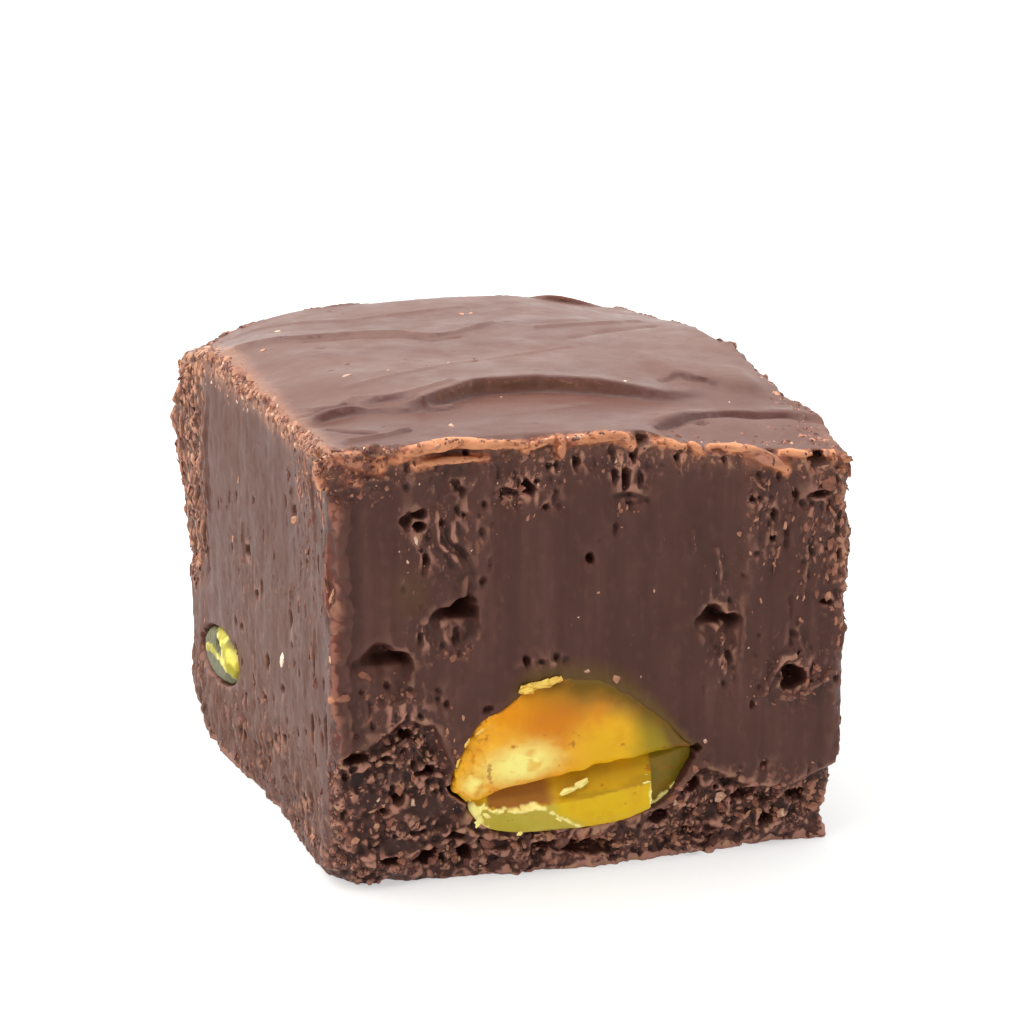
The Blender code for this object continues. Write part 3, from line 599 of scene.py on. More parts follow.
def seam(points, facing, side, half_width, height, *path):
    """Raises a ridge, or sinks a crease, along a bent line of one side."""
    across_axis, up_axis, depth_axis, inward = SIDES[side]
    across, up = points[:, across_axis], points[:, up_axis]
    (low_across, low_up), (high_across, high_up) = np.min(path, axis=0), np.max(path, axis=0)
    near = (across > low_across - 1) & (across < high_across + 1) & (up > low_up - 1) & (up < high_up + 1)
    near = np.flatnonzero(near & (facing[side] > 0))
    local = points[near]
    wander = 0.3 * half_width * waves(local, 0.8, 47)
    distance = (line_distance(across[near], up[near], path) + wander) * (1 if side == "top" else 1.5)
    uneven = 1 + (0 if side == "top" else 0.6) * waves(local, 0.5, 49)
    amount = height * smooth(half_width, 0, distance) * uneven * facing[side][near]
    local[:, depth_axis] -= inward * amount
    points[near] = local


def girth_at(x, ends):
    """How thick a kernel half is at x, as a share of its fullest: 1 in the middle and 0 at its ends."""
    along = (x - sum(ends) / 2) / ((ends[1] - ends[0]) / 2)
    return np.sqrt(np.clip(1 - along ** 2, 1e-6, 1))


def outline_at(x, ends, stations, top, foot):
    """The height of the middle of a kernel half at x, and half the height of its outline there."""
    stations, top, foot = (np.asarray(row) for row in (stations, top, foot))
    fullness = (top - foot) / 2 / girth_at(stations, ends)
    middle = soft_line(x, stations, (top + foot) / 2, 0.5)
    return middle, soft_line(x, stations, fullness, 0.5) * girth_at(x, ends)


def kernel_reach(x, z):
    """0 in the middle of the front kernel's outline, 1 on it and more outside."""
    middle, half = outline_at(x, UPPER_ENDS, UPPER_X, UPPER_TOP, np.interp(UPPER_X, CRACK_X, CRACK_Z))
    top = middle + half
    middle, half = outline_at(x, LOWER_ENDS, LOWER_X, np.interp(LOWER_X, CRACK_X, CRACK_Z), LOWER_FOOT)
    foot = np.where(half > 0.02, middle - half, np.interp(x, CRACK_X, CRACK_Z))
    beyond = np.maximum(UPPER_ENDS[0] - x, x - UPPER_ENDS[1])
    tall = np.maximum((top - foot) / 2, 0.3)
    return np.abs(z - (top + foot) / 2) / tall + np.clip(beyond / 0.3, 0, 9)


def left_kernel_reach(y, z):
    """0 in the middle of the left kernel's outline and 1 on it."""
    run = y - LEFT_KERNEL[1]
    rise = z - LEFT_KERNEL[2] - LEFT_TILT * run
    return np.hypot(run / 5.1, rise / LEFT_SIZES[3])


def faces_of(outward):
    """How much each point faces each side."""
    return {side: smooth(0.3, 0.8, -way * outward[:, axis]) for side, (_, _, axis, way) in SIDES.items()}


def torn_relief(flat, facing, outward):
    """How far the broken, crumbly and streaked parts stand out."""
    sides = facing["front"] + facing["back"] + facing["left"] + facing["right"]
    edge = smooth(0.99, 0.8, np.abs(outward).max(axis=1)) * smooth(-0.5, 0.5, outward[:, 2] + 0.4)
    crumbs = crumbliness(flat, facing)
    broken = crumbs > 0.02
    ragged = CUT_RELIEF * sides * waves(flat, CUT_WAVE, 3)
    ragged += TOP_RELIEF * facing["top"] * waves(flat, (TOP_WAVE, TOP_WAVE / 3, TOP_WAVE), 5)
    ragged += CRUMB_RELIEF * crumbs * (2 * only(broken, lumps, flat, CRUMB_LUMP, 11) - 1 * broken)
    knobbly = crumbs * (0.35 + 0.65 * smooth(-0.4, 0.3, waves(flat, 2.2, 55)))
    ragged += 0.7 * knobbly * only(broken, clods, flat, 1.2, 51)
    ragged += 0.4 * knobbly * only(broken, clods, flat, 0.6, 53)
    loose = pitted(flat, facing) * (1 - crumbs) * (1 - 0.55 * facing["left"])
    ragged += 0.16 * loose * only(loose > 0.05, clods, flat, (0.4, 0.4, 1.2), 63)
    ragged += EDGE_RELIEF * edge * waves(flat, EDGE_LUMP, 17)
    on_edge = edge > 0.02
    burr = smooth(27.5, 29.5, flat[:, 0]) * smooth(13, 14.5, flat[:, 2]) * smooth(2.5, 1, flat[:, 1])
    ragged += (0.26 * edge + 0.3 * burr) * only(on_edge | (burr > 0.02), clods, flat, 0.6, 57)
    skin = sides * (1 - crumbs)
    streak = skin > 0.05
    skin *= 1 - 0.65 * facing["left"]
    ragged += 0.07 * skin * only(streak, waves, flat, (1.1, 1.1, 11), 61)
    ragged += 0.045 * skin * only(streak, waves, flat, (0.4, 0.4, 5), 67)
    flaky = facing["left"] * smooth(27.5, 29.5, flat[:, 1]) * smooth(9, 11, flat[:, 2])
    ragged += 0.24 * flaky * only(flaky > 0.02, clods, flat, (0.8, 0.8, 3.6), 97)
    ragged += 0.1 * flaky * only(flaky > 0.02, clods, flat, (0.4, 0.4, 1.4), 99)
    ragged -= 0.33 * flaky
    strip = strip_part(flat) * facing["front"]
    return ragged + strip * (0.3 + 0.2 * only(strip > 0.02, clods, flat, 0.7, 59))


def shape_block(unit):
    """The block's surface for points of a cube: warped, folded, hollowed and ragged."""
    points, outward = rounded_block(unit)
    facing = faces_of(outward)
    flat = points.copy()
    x, y, z = flat.T
    points[:, 0] += left_offset(y, z) * (1 - x / WIDTH) + right_offset(y, z) * x / WIDTH
    points[:, 1] += front_offset(x, z) * smooth(0.5, 0, y / DEPTH)
    rise = top_offset(x, y) + top_steps(x, y)
    points[:, 2] += rise * np.clip(z / HEIGHT, 0, 1)
    fold_y = np.interp(x, FOLD_X, FOLD_Y)
    crest = np.interp(x, FOLD_X, FOLD_PART) * bump(y, fold_y + FOLD_WIDTH, 1.1) * facing["top"]
    points[:, 1] -= 0.55 * crest
    points[:, 2] += 0.08 * crest
    points += outward * torn_relief(flat, facing, outward)[:, None]

    for row in each(SEAMS):
        seam(points, facing, *row)
    for row in (*each(HOLLOWS), *small_pits()):
        hollow(points, facing, *row)
    covered = smooth(9.5, 12, points[:, 0]) * smooth(5.5, 8, points[:, 2])
    covered = np.maximum(covered, smooth(17.5, 19, points[:, 0]) * smooth(5.6, 6.2, points[:, 2]))
    seat = smooth(0.98, 0.9, kernel_reach(points[:, 0], points[:, 2]) + 0.1 * covered) * facing["front"]
    points[:, 1] += 1.6 * seat
    left_seat = smooth(1, 0.85, left_kernel_reach(points[:, 1], points[:, 2])) * facing["left"]
    points[:, 0] += 1.2 * left_seat
    return points


def in_frame(point):
    """A point in block millimetres, in the part's frame."""
    return (Vector(point) - Vector(MIDDLE)) * MM


def place(mesh, points):
    """Writes points in block millimetres to a mesh in the part's frame."""
    moved = (np.asarray(points) - MIDDLE) * MM
    mesh.vertices.foreach_set("co", moved.astype(np.float32).ravel())
    mesh.update()



def rows_of(items, name):
    """What the items of a mesh hold under a name, as rows of x, y and z."""
    flat = np.empty(len(items) * 3, dtype=np.float32)
    items.foreach_get(name, flat)
    return flat.reshape(-1, 3).astype(float)


def block_points(mesh):
    """A mesh's vertices in block millimetres."""
    return rows_of(mesh.vertices, "co") / MM + MIDDLE


def block_normals(mesh):
    """The directions that a mesh's vertices face."""
    return rows_of(mesh.vertex_normals, "vector")


def evaluated(thing):
    """An object's mesh with its modifiers worked out."""
    graph = bpy.context.evaluated_depsgraph_get()
    return bpy.data.meshes.new_from_object(thing.evaluated_get(graph))


def applied(thing):
    """Turns an object's modifiers into its mesh."""
    mesh = evaluated(thing)
    thing.modifiers.clear()
    thing.data = mesh


def modify(thing, kind, **settings):
    """Adds a modifier to an object."""
    modifier = thing.modifiers.new(kind, kind)
    for name, value in settings.items():
        setattr(modifier, name, value)


def thin_out(thing, triangles):
    """Thins an object's mesh out to so many triangles."""
    thing.data.calc_loop_triangles()
    share = min(1, triangles / len(thing.data.loop_triangles))
    modify(thing, "DECIMATE", ratio=share, use_collapse_triangulate=True)
    applied(thing)


@contextmanager
def edited(mesh):
    """Opens a mesh for editing and writes it back afterwards."""
    work = bmesh.new()
    work.from_mesh(mesh)
    yield work
    work.to_mesh(mesh)
    work.free()


def new_object(name, mesh):
    """Links a mesh to the scene under a name."""
    thing = bpy.data.objects.new(name, mesh)
    bpy.context.scene.collection.objects.link(thing)
    return thing


def store(mesh, **numbers):
    """Keeps a number under each name for each vertex, for the materials to read."""
    for name, values in numbers.items():
        layer = mesh.attributes.new(name, "FLOAT", "POINT")
        layer.data.foreach_set("value", np.asarray(values, dtype=np.float32))


def strand(radius, points, shift):
    """A rounded lip of skin that follows a few points, shifted, as a mesh."""
    curve = bpy.data.curves.new("lip", "CURVE")
    curve.dimensions = "3D"
    curve.bevel_depth = radius * MM
    curve.bevel_resolution = 2
    curve.use_fill_caps = True
    line = curve.splines.new("NURBS")
    line.points.add(len(points) - 1)
    for knot, point in zip(line.points, points):
        knot.co = (*in_frame(Vector(point) + Vector(shift)), 1)
    for end in (0, -1):
        line.points[end].radius = 0.5
    line.order_u = 3
    line.use_endpoint_u = True
    line.resolution_u = 16
    thing = new_object("lip", curve)
    mesh = evaluated(thing)
    bpy.data.objects.remove(thing)
    return mesh


def convexity(mesh, points, normals, rounds):
    """How far each vertex stands above its neighbours, smoothed over a few rounds."""
    edges = np.empty(len(mesh.edges) * 2, dtype=np.int32)
    mesh.edges.foreach_get("vertices", edges)
    first, second = edges.reshape(-1, 2).T
    size = len(points)
    count = np.maximum(np.bincount(first, minlength=size) + np.bincount(second, minlength=size), 1)
    centre = points.copy()
    for _ in range(rounds):
        total = np.stack([
            np.bincount(first, centre[second, axis], size) + np.bincount(second, centre[first, axis], size)
            for axis in range(3)
        ], axis=1)
        centre = total / count[:, None]
    return ((points - centre) * normals).sum(axis=1)


def finish_relief(mesh):
    """Adds the finest crumbs and pores that are modelled, along the surface's own normals."""
    points = block_points(mesh)
    normals = block_normals(mesh)
    x, y, z = points.T
    facing = faces_of(normals)
    crumbs = crumbliness(points, facing)
    inner = (x > 0.9) & (x < 29.1) & (y > 0.9) & (y < DEPTH - 0.9)
    near_top = HEIGHT + top_offset(x, y) - z
    rim = smooth(2, 0.6, near_top) * (near_top > 0.25)
    torn = np.clip(crumbs + 0.8 * (z < 21.5) * inner + 0.8 * rim, 0, 1)
    rough = torn > 0.05
    patches = smooth(-0.2, 0.5, waves(points, 1.5, 75))
    fine = 0.2 * torn * patches * only(rough, clods, points, 0.4, 71)
    fine += 0.035 * (1 - facing["top"]) * waves(points, (0.3, 0.3, 0.45), 73)
    lip = smooth(0.5, 0.1, y) * smooth(0.5, 0.3, near_top)
    curl = 0.12 * lip * waves(points, (1.1, 0.3, 0.3), 83)
    fine += curl + 0.05 * lip * waves(points, (0.3, 0.15, 0.15), 85)
    fine += 0.010 * waves(points, 0.22, 79)
    place(mesh, points + normals * fine[:, None])


def cut(work, point, normal, reach):
    """Slices off what lies where the normal points, and gives the edges of the cut."""
    parts = work.verts[:] + work.edges[:] + work.faces[:]
    bmesh.ops.bisect_plane(work, geom=parts, dist=reach, plane_co=point, plane_no=normal, clear_outer=True)
    return [edge for edge in work.edges if edge.is_boundary]


def split_faces(work):
    """Splits faces of many corners into triangles."""
    bmesh.ops.triangulate(work, faces=[face for face in work.faces if len(face.verts) > 4])


def slice_flat(mesh):
    """Cuts off what lies below the table, which leaves the flat underside."""
    with edited(mesh) as work:
        rim = cut(work, (0, 0, 0), (0, 0, -1), 1e-8)
        bmesh.ops.holes_fill(work, edges=rim, sides=0)
        split_faces(work)


def make_block():
    """The block with its lips fused on, and the numbers its material reads."""
    bpy.ops.mesh.primitive_cube_add(size=2)
    block = bpy.context.object
    block.name = "fudge_body"
    modify(block, "SUBSURF", subdivision_type="SIMPLE", levels=LEVELS, render_levels=LEVELS)
    applied(block)
    place(block.data, shape_block(rows_of(block.data.vertices, "co")))

    lip_points = []
    with edited(block.data) as joined:
        for radius, *path in LIPS:
            for shift in (LIP_SHIFT, LIP_ROOT):
                lip = strand(radius, path, shift)
                if shift == LIP_SHIFT:
                    lip_points.append(block_points(lip))
                joined.from_mesh(lip)
                bpy.data.meshes.remove(lip)

    modify(block, "REMESH", mode="VOXEL", voxel_size=VOXEL * MM)
    applied(block)
    finish_relief(block.data)
    thin_out(block, BLOCK_TRIANGLES)
    slice_flat(block.data)
    paint_block(block.data, np.concatenate(lip_points))
    block.data.shade_smooth()
    return block


def paint_block(mesh, lip_points):
    """Stores where the block is poured, crusted, tan, torn, stained or reddish, how far each point stands
    out, and where shade is painted: on the steep face of the top's fold and at the broken band's left end.
    """
    points = block_points(mesh)
    normals = block_normals(mesh)
    x, y, z = points.T
    facing = faces_of(normals)
    top_z = HEIGHT + top_offset(x, y) + top_steps(x, y)
    poured = smooth(-0.7, -0.35, z - top_z) * smooth(0.3, 0.7, normals[:, 2])
    inner = (y > 2) * (y < 33) * (x > 2) * (x < 28.5)

    crust = np.zeros(len(points))
    near_lips = np.flatnonzero((y < 1.5) & (z > 21))
    for start in range(0, len(near_lips), 2000):
        chosen = near_lips[start:start + 2000]
        gaps = np.linalg.norm(points[chosen, None] - lip_points[None], axis=2).min(axis=1)
        crust[chosen] = smooth(0.22, 0.1, gaps)

    near_top = smooth(1.8, 0.3, top_z - z) * (1 - poured)
    ragged = 0.6 * waves(points, (0.8, 0.8, 1.6), 141)
    left_rim = smooth(1.8, 0.9, x) * smooth(1.9, 0.7, top_z - z + ragged)
    back_band = smooth(28.5, 31, y + ragged + 0.2 * (z - 16)) * smooth(1.8, 0.6, x) * smooth(8, 10, z)
    back_band *= 0.6 + 0.4 * waves(points, (0.7, 0.7, 5), 145)
    right_rim = smooth(28.9, 29.5, x + ragged) * smooth(13, 14.4, z + ragged)
    right_rim *= 0.5 + 0.5 * smooth(-0.3, 0.2, waves(points, (0.5, 0.5, 0.9), 143))
    right_rim *= smooth(5.5, 1.5, y + 2 * ragged)
    front_corner = smooth(0.4, 0.15, x) * (y < 0.8) * smooth(7, 9, z)
    edges = np.clip(0.5 * near_top + left_rim + 0.75 * back_band + 0.85 * right_rim + front_corner, 0, 1)
    corner_line = (x + y < 0.4 + 0.6 * ragged) * smooth(6.5, 8, z) * smooth(22.5, 21, z)
    crust = np.maximum(crust, 0.75 * corner_line)
    bare_left = 1 - 0.8 * blob(x, z, 1.5, 23.6, 2.6, 2)
    bare_right = 1 - 0.8 * blob(x, z, 24.6, 22.5, 2.2, 1.2)
    ends = blob(x, z, 1.5, 23.6, 2.8, 2.2) + blob(x, z, 24.6, 22.5, 2.4, 1.4)
    red = strip_part(points) * facing["front"] + crust * ends
    red += 0.8 * (y > 35.3) * (x > 22.2) * (x < 28.8) * smooth(0.05, 0.25, z - top_z)
    broken = smooth(0, SKIN_STEP, np.interp(x, SKIN_X, SKIN_Z) - z) * (y < 4) * facing["front"]
    # Darker on the smooth patches of the front's broken band; over the band's left end this is painted
    # shade, standing for the shade in its deep voids.
    shade = broken * np.maximum(calm_part(x, z), 0.45 * smooth(10, 7, x))
    stain = smooth(1.3, 0.95, kernel_reach(x, z)) * (y < 2.5) * smooth(5.5, 7.5, z) * smooth(9.5, 12, x)
    olive = 0.35 * blob(x, z, 5.1, 16.6, 1.6, 2) * (y < 2)
    store(
        mesh,
        poured=poured * (1 - crust),
        # Painted shade on the steep face of the poured top's fold, under its crest.
        steep=poured * smooth(0.975, 0.85, normals[:, 2]) * inner,
        crust=crust * bare_left * bare_right,
        torn=crumbliness(points, facing),
        shade=shade,
        pitted=pitted(points, facing) * (1 - 0.5 * facing["left"]) * (1 - 0.8 * shade),
        # The whole left face painted browner and darker, most towards its foot, against the grey sheen it
        # gets from the pale surroundings.
        brown=smooth(1.6, 0.5, x) * smooth(1.5, 3, y) * (0.65 + 0.35 * smooth(9, 4, z)),
        raised=convexity(mesh, points, normals, 3),
        tan=edges * (1 - crust),
        red=np.clip(red, 0, 1),
        stain=np.clip(stain + olive, 0, 1),
    )


def crumb_rows(rng):
    """Each crumb's cast, place across and up, size, stretch and tone."""
    share = 1
    for cast, across, up, half_across, half_up, count, size, stretch, palest in each(DRIFTS):
        for _ in range(int(count * share)):
            place_across = across + half_across * rng.uniform(-1, 1)
            place_up = up + half_up * float(np.clip(rng.normal(0, 0.5), -1.3, 1.3))
            edge_size = 0.62 if cast in EDGE_CASTS else 0.85
            this_size = size * edge_size * float(np.clip(rng.lognormal(-0.15, 0.45), 0.35, 2.4))
            tone = palest * float(0.3 + 0.7 * rng.random() ** 1.5)
            yield cast, place_across, place_up, this_size, stretch * rng.uniform(0.7, 1.3), tone
    yield from each(SINGLES)


def crumb_frame(normal, upward, stretch, turn):
    """The directions of a crumb that lies on a surface, drawn out upward where it is stretched."""
    along = upward - normal * upward.dot(normal)
    if along.length < 0.1:
        along = normal.orthogonal()
    along.normalize()
    swing = turn * (0.35 if stretch > 1.4 else math.pi)
    along = Matrix.Rotation(swing, 3, normal) @ along
    side = along.cross(normal)
    return Matrix((side, along, normal)).transposed()


def make_crumbs(block):
    """Loose and half sunk crumbs of many sizes, scattered on the finished block as one mesh."""
    rng = np.random.default_rng(CRUMB_SEED)
    template = bmesh.new()
    bmesh.ops.create_icosphere(template, subdivisions=1, radius=1)
    shape = np.array([vertex.co for vertex in template.verts])
    corners = np.array([[vertex.index for vertex in face.verts] for face in template.faces])
    template.free()
    tree = BVHTree.FromObject(block, bpy.context.evaluated_depsgraph_get())
    all_points, all_faces, tones = [], [], []
    for cast, across, up, size, stretch, tone in crumb_rows(rng):
        start, across_way, up_way, inward = (Vector(way) for way in CASTS[cast])
        inward.normalize()
        origin = start + across_way.normalized() * across + up_way.normalized() * up
        origin -= inward * CAST_START
        spot, normal, *_ = tree.ray_cast(in_frame(origin), inward, CAST_REACH * MM)
        if spot is None or spot.z < LOWEST_CRUMB * MM:
            continue
        at = spot / MM + Vector(MIDDLE)
        if at.y < 3 and kernel_reach(np.array([at.x]), np.array([at.z]))[0] < 1 and len(tones) % 9:
            continue
        axes = np.array(crumb_frame(normal, Vector((0, 0, 1)), stretch, rng.uniform(-1, 1)))
        spread = np.array((rng.uniform(0.6, 1), max(1, stretch), rng.uniform(0.3, 0.6))) * size
        rough = shape + rng.normal(0, 0.2, shape.shape)
        body = rough * spread @ axes.T + np.array(at - normal * size * 0.2)
        body[:, 2] = np.maximum(body[:, 2], FLOOR_GAP)
        all_faces.append(corners + len(all_points) * len(shape))
        all_points.append(body)
        tones.append(tone)
    mesh = bpy.data.meshes.new("crumbs")
    mesh.from_pydata(np.zeros((len(tones) * len(shape), 3)), [], np.concatenate(all_faces))
    place(mesh, np.concatenate(all_points))
    store(mesh, tone=np.repeat(tones, len(shape)))
    return new_object("crumbs", mesh)


def ball(name):
    """A fine sphere to shape a kernel from, then how far its points lie outward, up and along."""
    bpy.ops.mesh.primitive_uv_sphere_add(segments=128, ring_count=96, radius=1)
    form = bpy.context.object
    form.name = name
    return form, *rows_of(form.data.vertices, "co").T


def outline_form(name, ends, stations, top, foot):
    """A kernel half whose outline in the front runs between a top and a foot line."""
    form, outward, up, along = ball(name)
    x = sum(ends) / 2 + along * (ends[1] - ends[0]) / 2
    middle, half = outline_at(x, ends, stations, top, foot)
    girth = girth_at(x, ends)
    reach = np.where(outward > 0, KERNEL_BULGE, KERNEL_DEPTH) * np.sign(outward)
    y = KERNEL_Y - reach * (np.abs(outward) / girth) ** KERNEL_FULLNESS * girth ** 0.6
    place(form.data, np.stack((x, y, middle + up / girth * half), 1))
    return form


def left_form(name):
    """The left kernel's egg form, lying along the left side."""
    form, outward, up, along = ball(name)
    length, bulge, depth, height = LEFT_SIZES
    sphere = np.stack((outward, up, along), 1)
    girth = 1 - KERNEL_TAPER * along + 0.03 * waves(sphere, 0.5, 29)
    run = along * length
    inward = -np.where(outward > 0, bulge, depth) * outward * girth
    place(form.data, np.stack((inward, run, up * height * girth + LEFT_TILT * run), 1) + LEFT_KERNEL)
    return form


def plane_cut(thing, point, normal):
    """Slices off what lies on the side that the normal points to, and closes the cut."""
    with edited(thing.data) as work:
        rim = cut(work, in_frame(point), normal, 1e-7)
        bmesh.ops.contextual_create(work, geom=rim)
        split_faces(work)
        bmesh.ops.recalc_face_normals(work, faces=work.faces[:])


def upper_relief(points):
    """Knobs and dents of the upper half: lumpy at its blunt left end, nearly smooth to the right."""
    x, y, z = points.T
    lumpy = smooth(10.4, 8.6, x)
    out = 0.3 * lumpy * clods(points, 1.5, 101) + 0.16 * lumpy * clods(points, 0.7, 103)
    out += 0.09 * waves(points, 2.2, 105) + 0.035 * waves(points, 0.8, 107)
    near_crack = smooth(0.9, 0.2, z - np.interp(x, CRACK_X, CRACK_Z))
    return out + 0.12 * near_crack * waves(points, (0.7, 0.7, 0.5), 109)


def sculpt_upper(points, normals):
    """Gives the upper half its relief."""
    return points + normals * upper_relief(points)[:, None]


def recess_part(x, z):
    """1 in the shaded break between the crack and the lower half's left facet."""
    crack = np.interp(x, CRACK_X, CRACK_Z)
    facet = np.interp(x, FACET_X, FACET_Z)
    ragged = 0.08 * np.sin(x * 5.1) + 0.05 * np.sin(x * 13)
    sides = smooth(9, 9.5, x) * smooth(13.2, 12.4, x)
    return sides * smooth(facet, facet + 0.15, z + ragged) * smooth(crack + 0.3, crack, z)


def ridge_side(x, z):
    """Above 0 on the right of the slanting ridge between the lower half's two front facets."""
    return z - RIDGE_START[1] - RIDGE_SLOPE * (x - RIDGE_START[0])


def sculpt_lower(points, normals):
    """Cuts the lower half's facets: two knife faces in front, a sloping top and a sunk right end."""
    x, y, z = points.T
    above = z - np.interp(x, FACET_X, FACET_Z)
    front = KNIFE_Y + 0.16 * np.maximum(-ridge_side(x, z), 0) + 0.04 * np.maximum(ridge_side(x, z), 0)
    top = KNIFE_Y + 0.65 * above
    end = KNIFE_Y + 0.75 * smooth(END_X, END_X + 0.12, x) + 0.12 * (x - END_X)
    facets = np.maximum(np.maximum(front, top), end)
    facets += 0.3 * recess_part(x, z) + 0.03 * waves(points, (1.6, 0.9, 0.35), 111)
    facets -= 0.1 * lower_edges(points)
    carved = points.copy()
    carved[:, 1] = np.where(y < KERNEL_Y + 1.5, np.maximum(y, facets), y)
    return carved + normals * 0.015 * waves(points, 0.3, 113)[:, None]


# Bright broken edges of the lower half: half width, then points of x and z
LOWER_EDGES = [
    (0.16, (8.45, 4.3), (8.9, 4.35), (9.5, 4.1), (10.3, 4.05), (11, 3.92), (11.6, 4.1), (12.3, 4.1)),
    (0.3, (8.55, 4.3), (8.65, 3.7), (8.95, 3.15)), (0.09, (12.7, 3.75), (14.6, 2.55)), (0.1,
    (END_X - 0.05, 4.7), (END_X, 2.9)), (0.2, (17.9, 2.7), (18.5, 3.1)), (0.2, (18.7, 3.3), (19.35, 3.55),
    (19.9, 3.8), (20.25, 4.2)),
]


def lower_edges(points):
    """1 on the bright broken edges of the lower half."""
    x, _, z = points.T
    total = np.zeros(len(points))
    for half_width, *path in LOWER_EDGES:
        wander = 0.7 * waves(points, (0.35, 3, 0.35), 121) + 0.5 * waves(points, (0.15, 3, 0.15), 123)
        distance = line_distance(x, z, path) + half_width * wander
        total = np.maximum(total, smooth(half_width, 0.6 * half_width, distance))
    return total


def left_bright(points):
    """1 on the bright broken flesh of the left kernel, 0 on its skin."""
    total = np.zeros(len(points))
    for half_width, *path in LEFT_BRIGHT:
        wander = half_width * 0.4 * waves(points, (3, 0.7, 0.4), 137)
        distance = line_distance(points[:, 1], points[:, 2], path) + wander
        total = np.maximum(total, smooth(half_width, 0.6 * half_width, distance))
    return total * (1 - blob(points[:, 1], points[:, 2], *LEFT_GAP))


def sculpt_left(points, normals):
    """Raises the left kernel's broken flesh, sinks the gap in it and keeps its skin smooth."""
    fine = left_bright(points) * (0.1 + 0.12 * waves(points, 0.8, 115)) + 0.03 * waves(points, 0.3, 117)
    fine -= 0.5 * blob(points[:, 1], points[:, 2], *LEFT_GAP)
    return points + normals * fine[:, None]


def even_skin(thing, sculpt, triangles):
    """Remeshes a kernel finely, sculpts it and thins it out."""
    modify(thing, "REMESH", mode="VOXEL", voxel_size=KERNEL_VOXEL * MM)
    modify(thing, "SMOOTH", factor=0.5, iterations=2)
    applied(thing)
    place(thing.data, sculpt(block_points(thing.data), block_normals(thing.data)))
    thin_out(thing, triangles)
    thing.data.shade_smooth()


# Pale chips that stand off the kernel: x, y, z, half length, half width, turn in the front's plane
UPPER_CHIPS = [
    (11.5, -0.2, 10.85, 0.55, 0.26, 0.2), (12.2, -0.28, 11, 0.7, 0.24, 0.15),
    (12.9, -0.3, 11.2, 0.5, 0.16, 0.25), (8, -0.35, 8.2, 0.3, 0.07, 1),
    (8.7, -0.35, 8.75, 0.3, 0.06, 0.6), (7.5, -0.3, 7.1, 0.25, 0.07, 1.2),
]
LOWER_CHIPS = [
    (8.75, -0.35, 4.35, 0.24, 0.12, 1.1), (9.05, -0.4, 4, 0.28, 0.11, -0.6),
    (8.6, -0.3, 3.6, 0.3, 0.13, 1.3), (9.5, -0.42, 4.2, 0.2, 0.09, 0.2),
    (13.7, -0.25, 4.85, 0.5, 0.16, 0.3), (14.5, -0.15, 5.15, 0.45, 0.2, 0.35),
    (13.1, -0.5, 3.35, 0.2, 0.08, -0.5), (18.3, -0.05, 5.15, 0.22, 0.08, 0),
    (18.2, -0.3, 4.85, 0.25, 0.06, 0.1), (10.9, -0.42, 2.75, 0.16, 0.1, 0.3),
]


def add_chips(thing, rows, seed):
    """Joins thin pale chips to a kernel half, and gives the number of their first vertex."""
    rng = np.random.default_rng(seed)
    with edited(thing.data) as work:
        first = len(work.verts)
        for x, y, z, half_length, half_width, turn in rows:
            spread = Matrix.Diagonal((half_length * MM, 0.5 * half_width * MM, half_width * MM, 1))
            matrix = Matrix.Translation(in_frame((x, y, z))) @ Matrix.Rotation(-turn, 4, "Y") @ spread
            made = bmesh.ops.create_icosphere(work, subdivisions=2, radius=1, matrix=matrix)
            for vertex in made["verts"]:
                vertex.co += Vector(rng.normal(0, 0.28 * half_width * MM, 3))
    return first


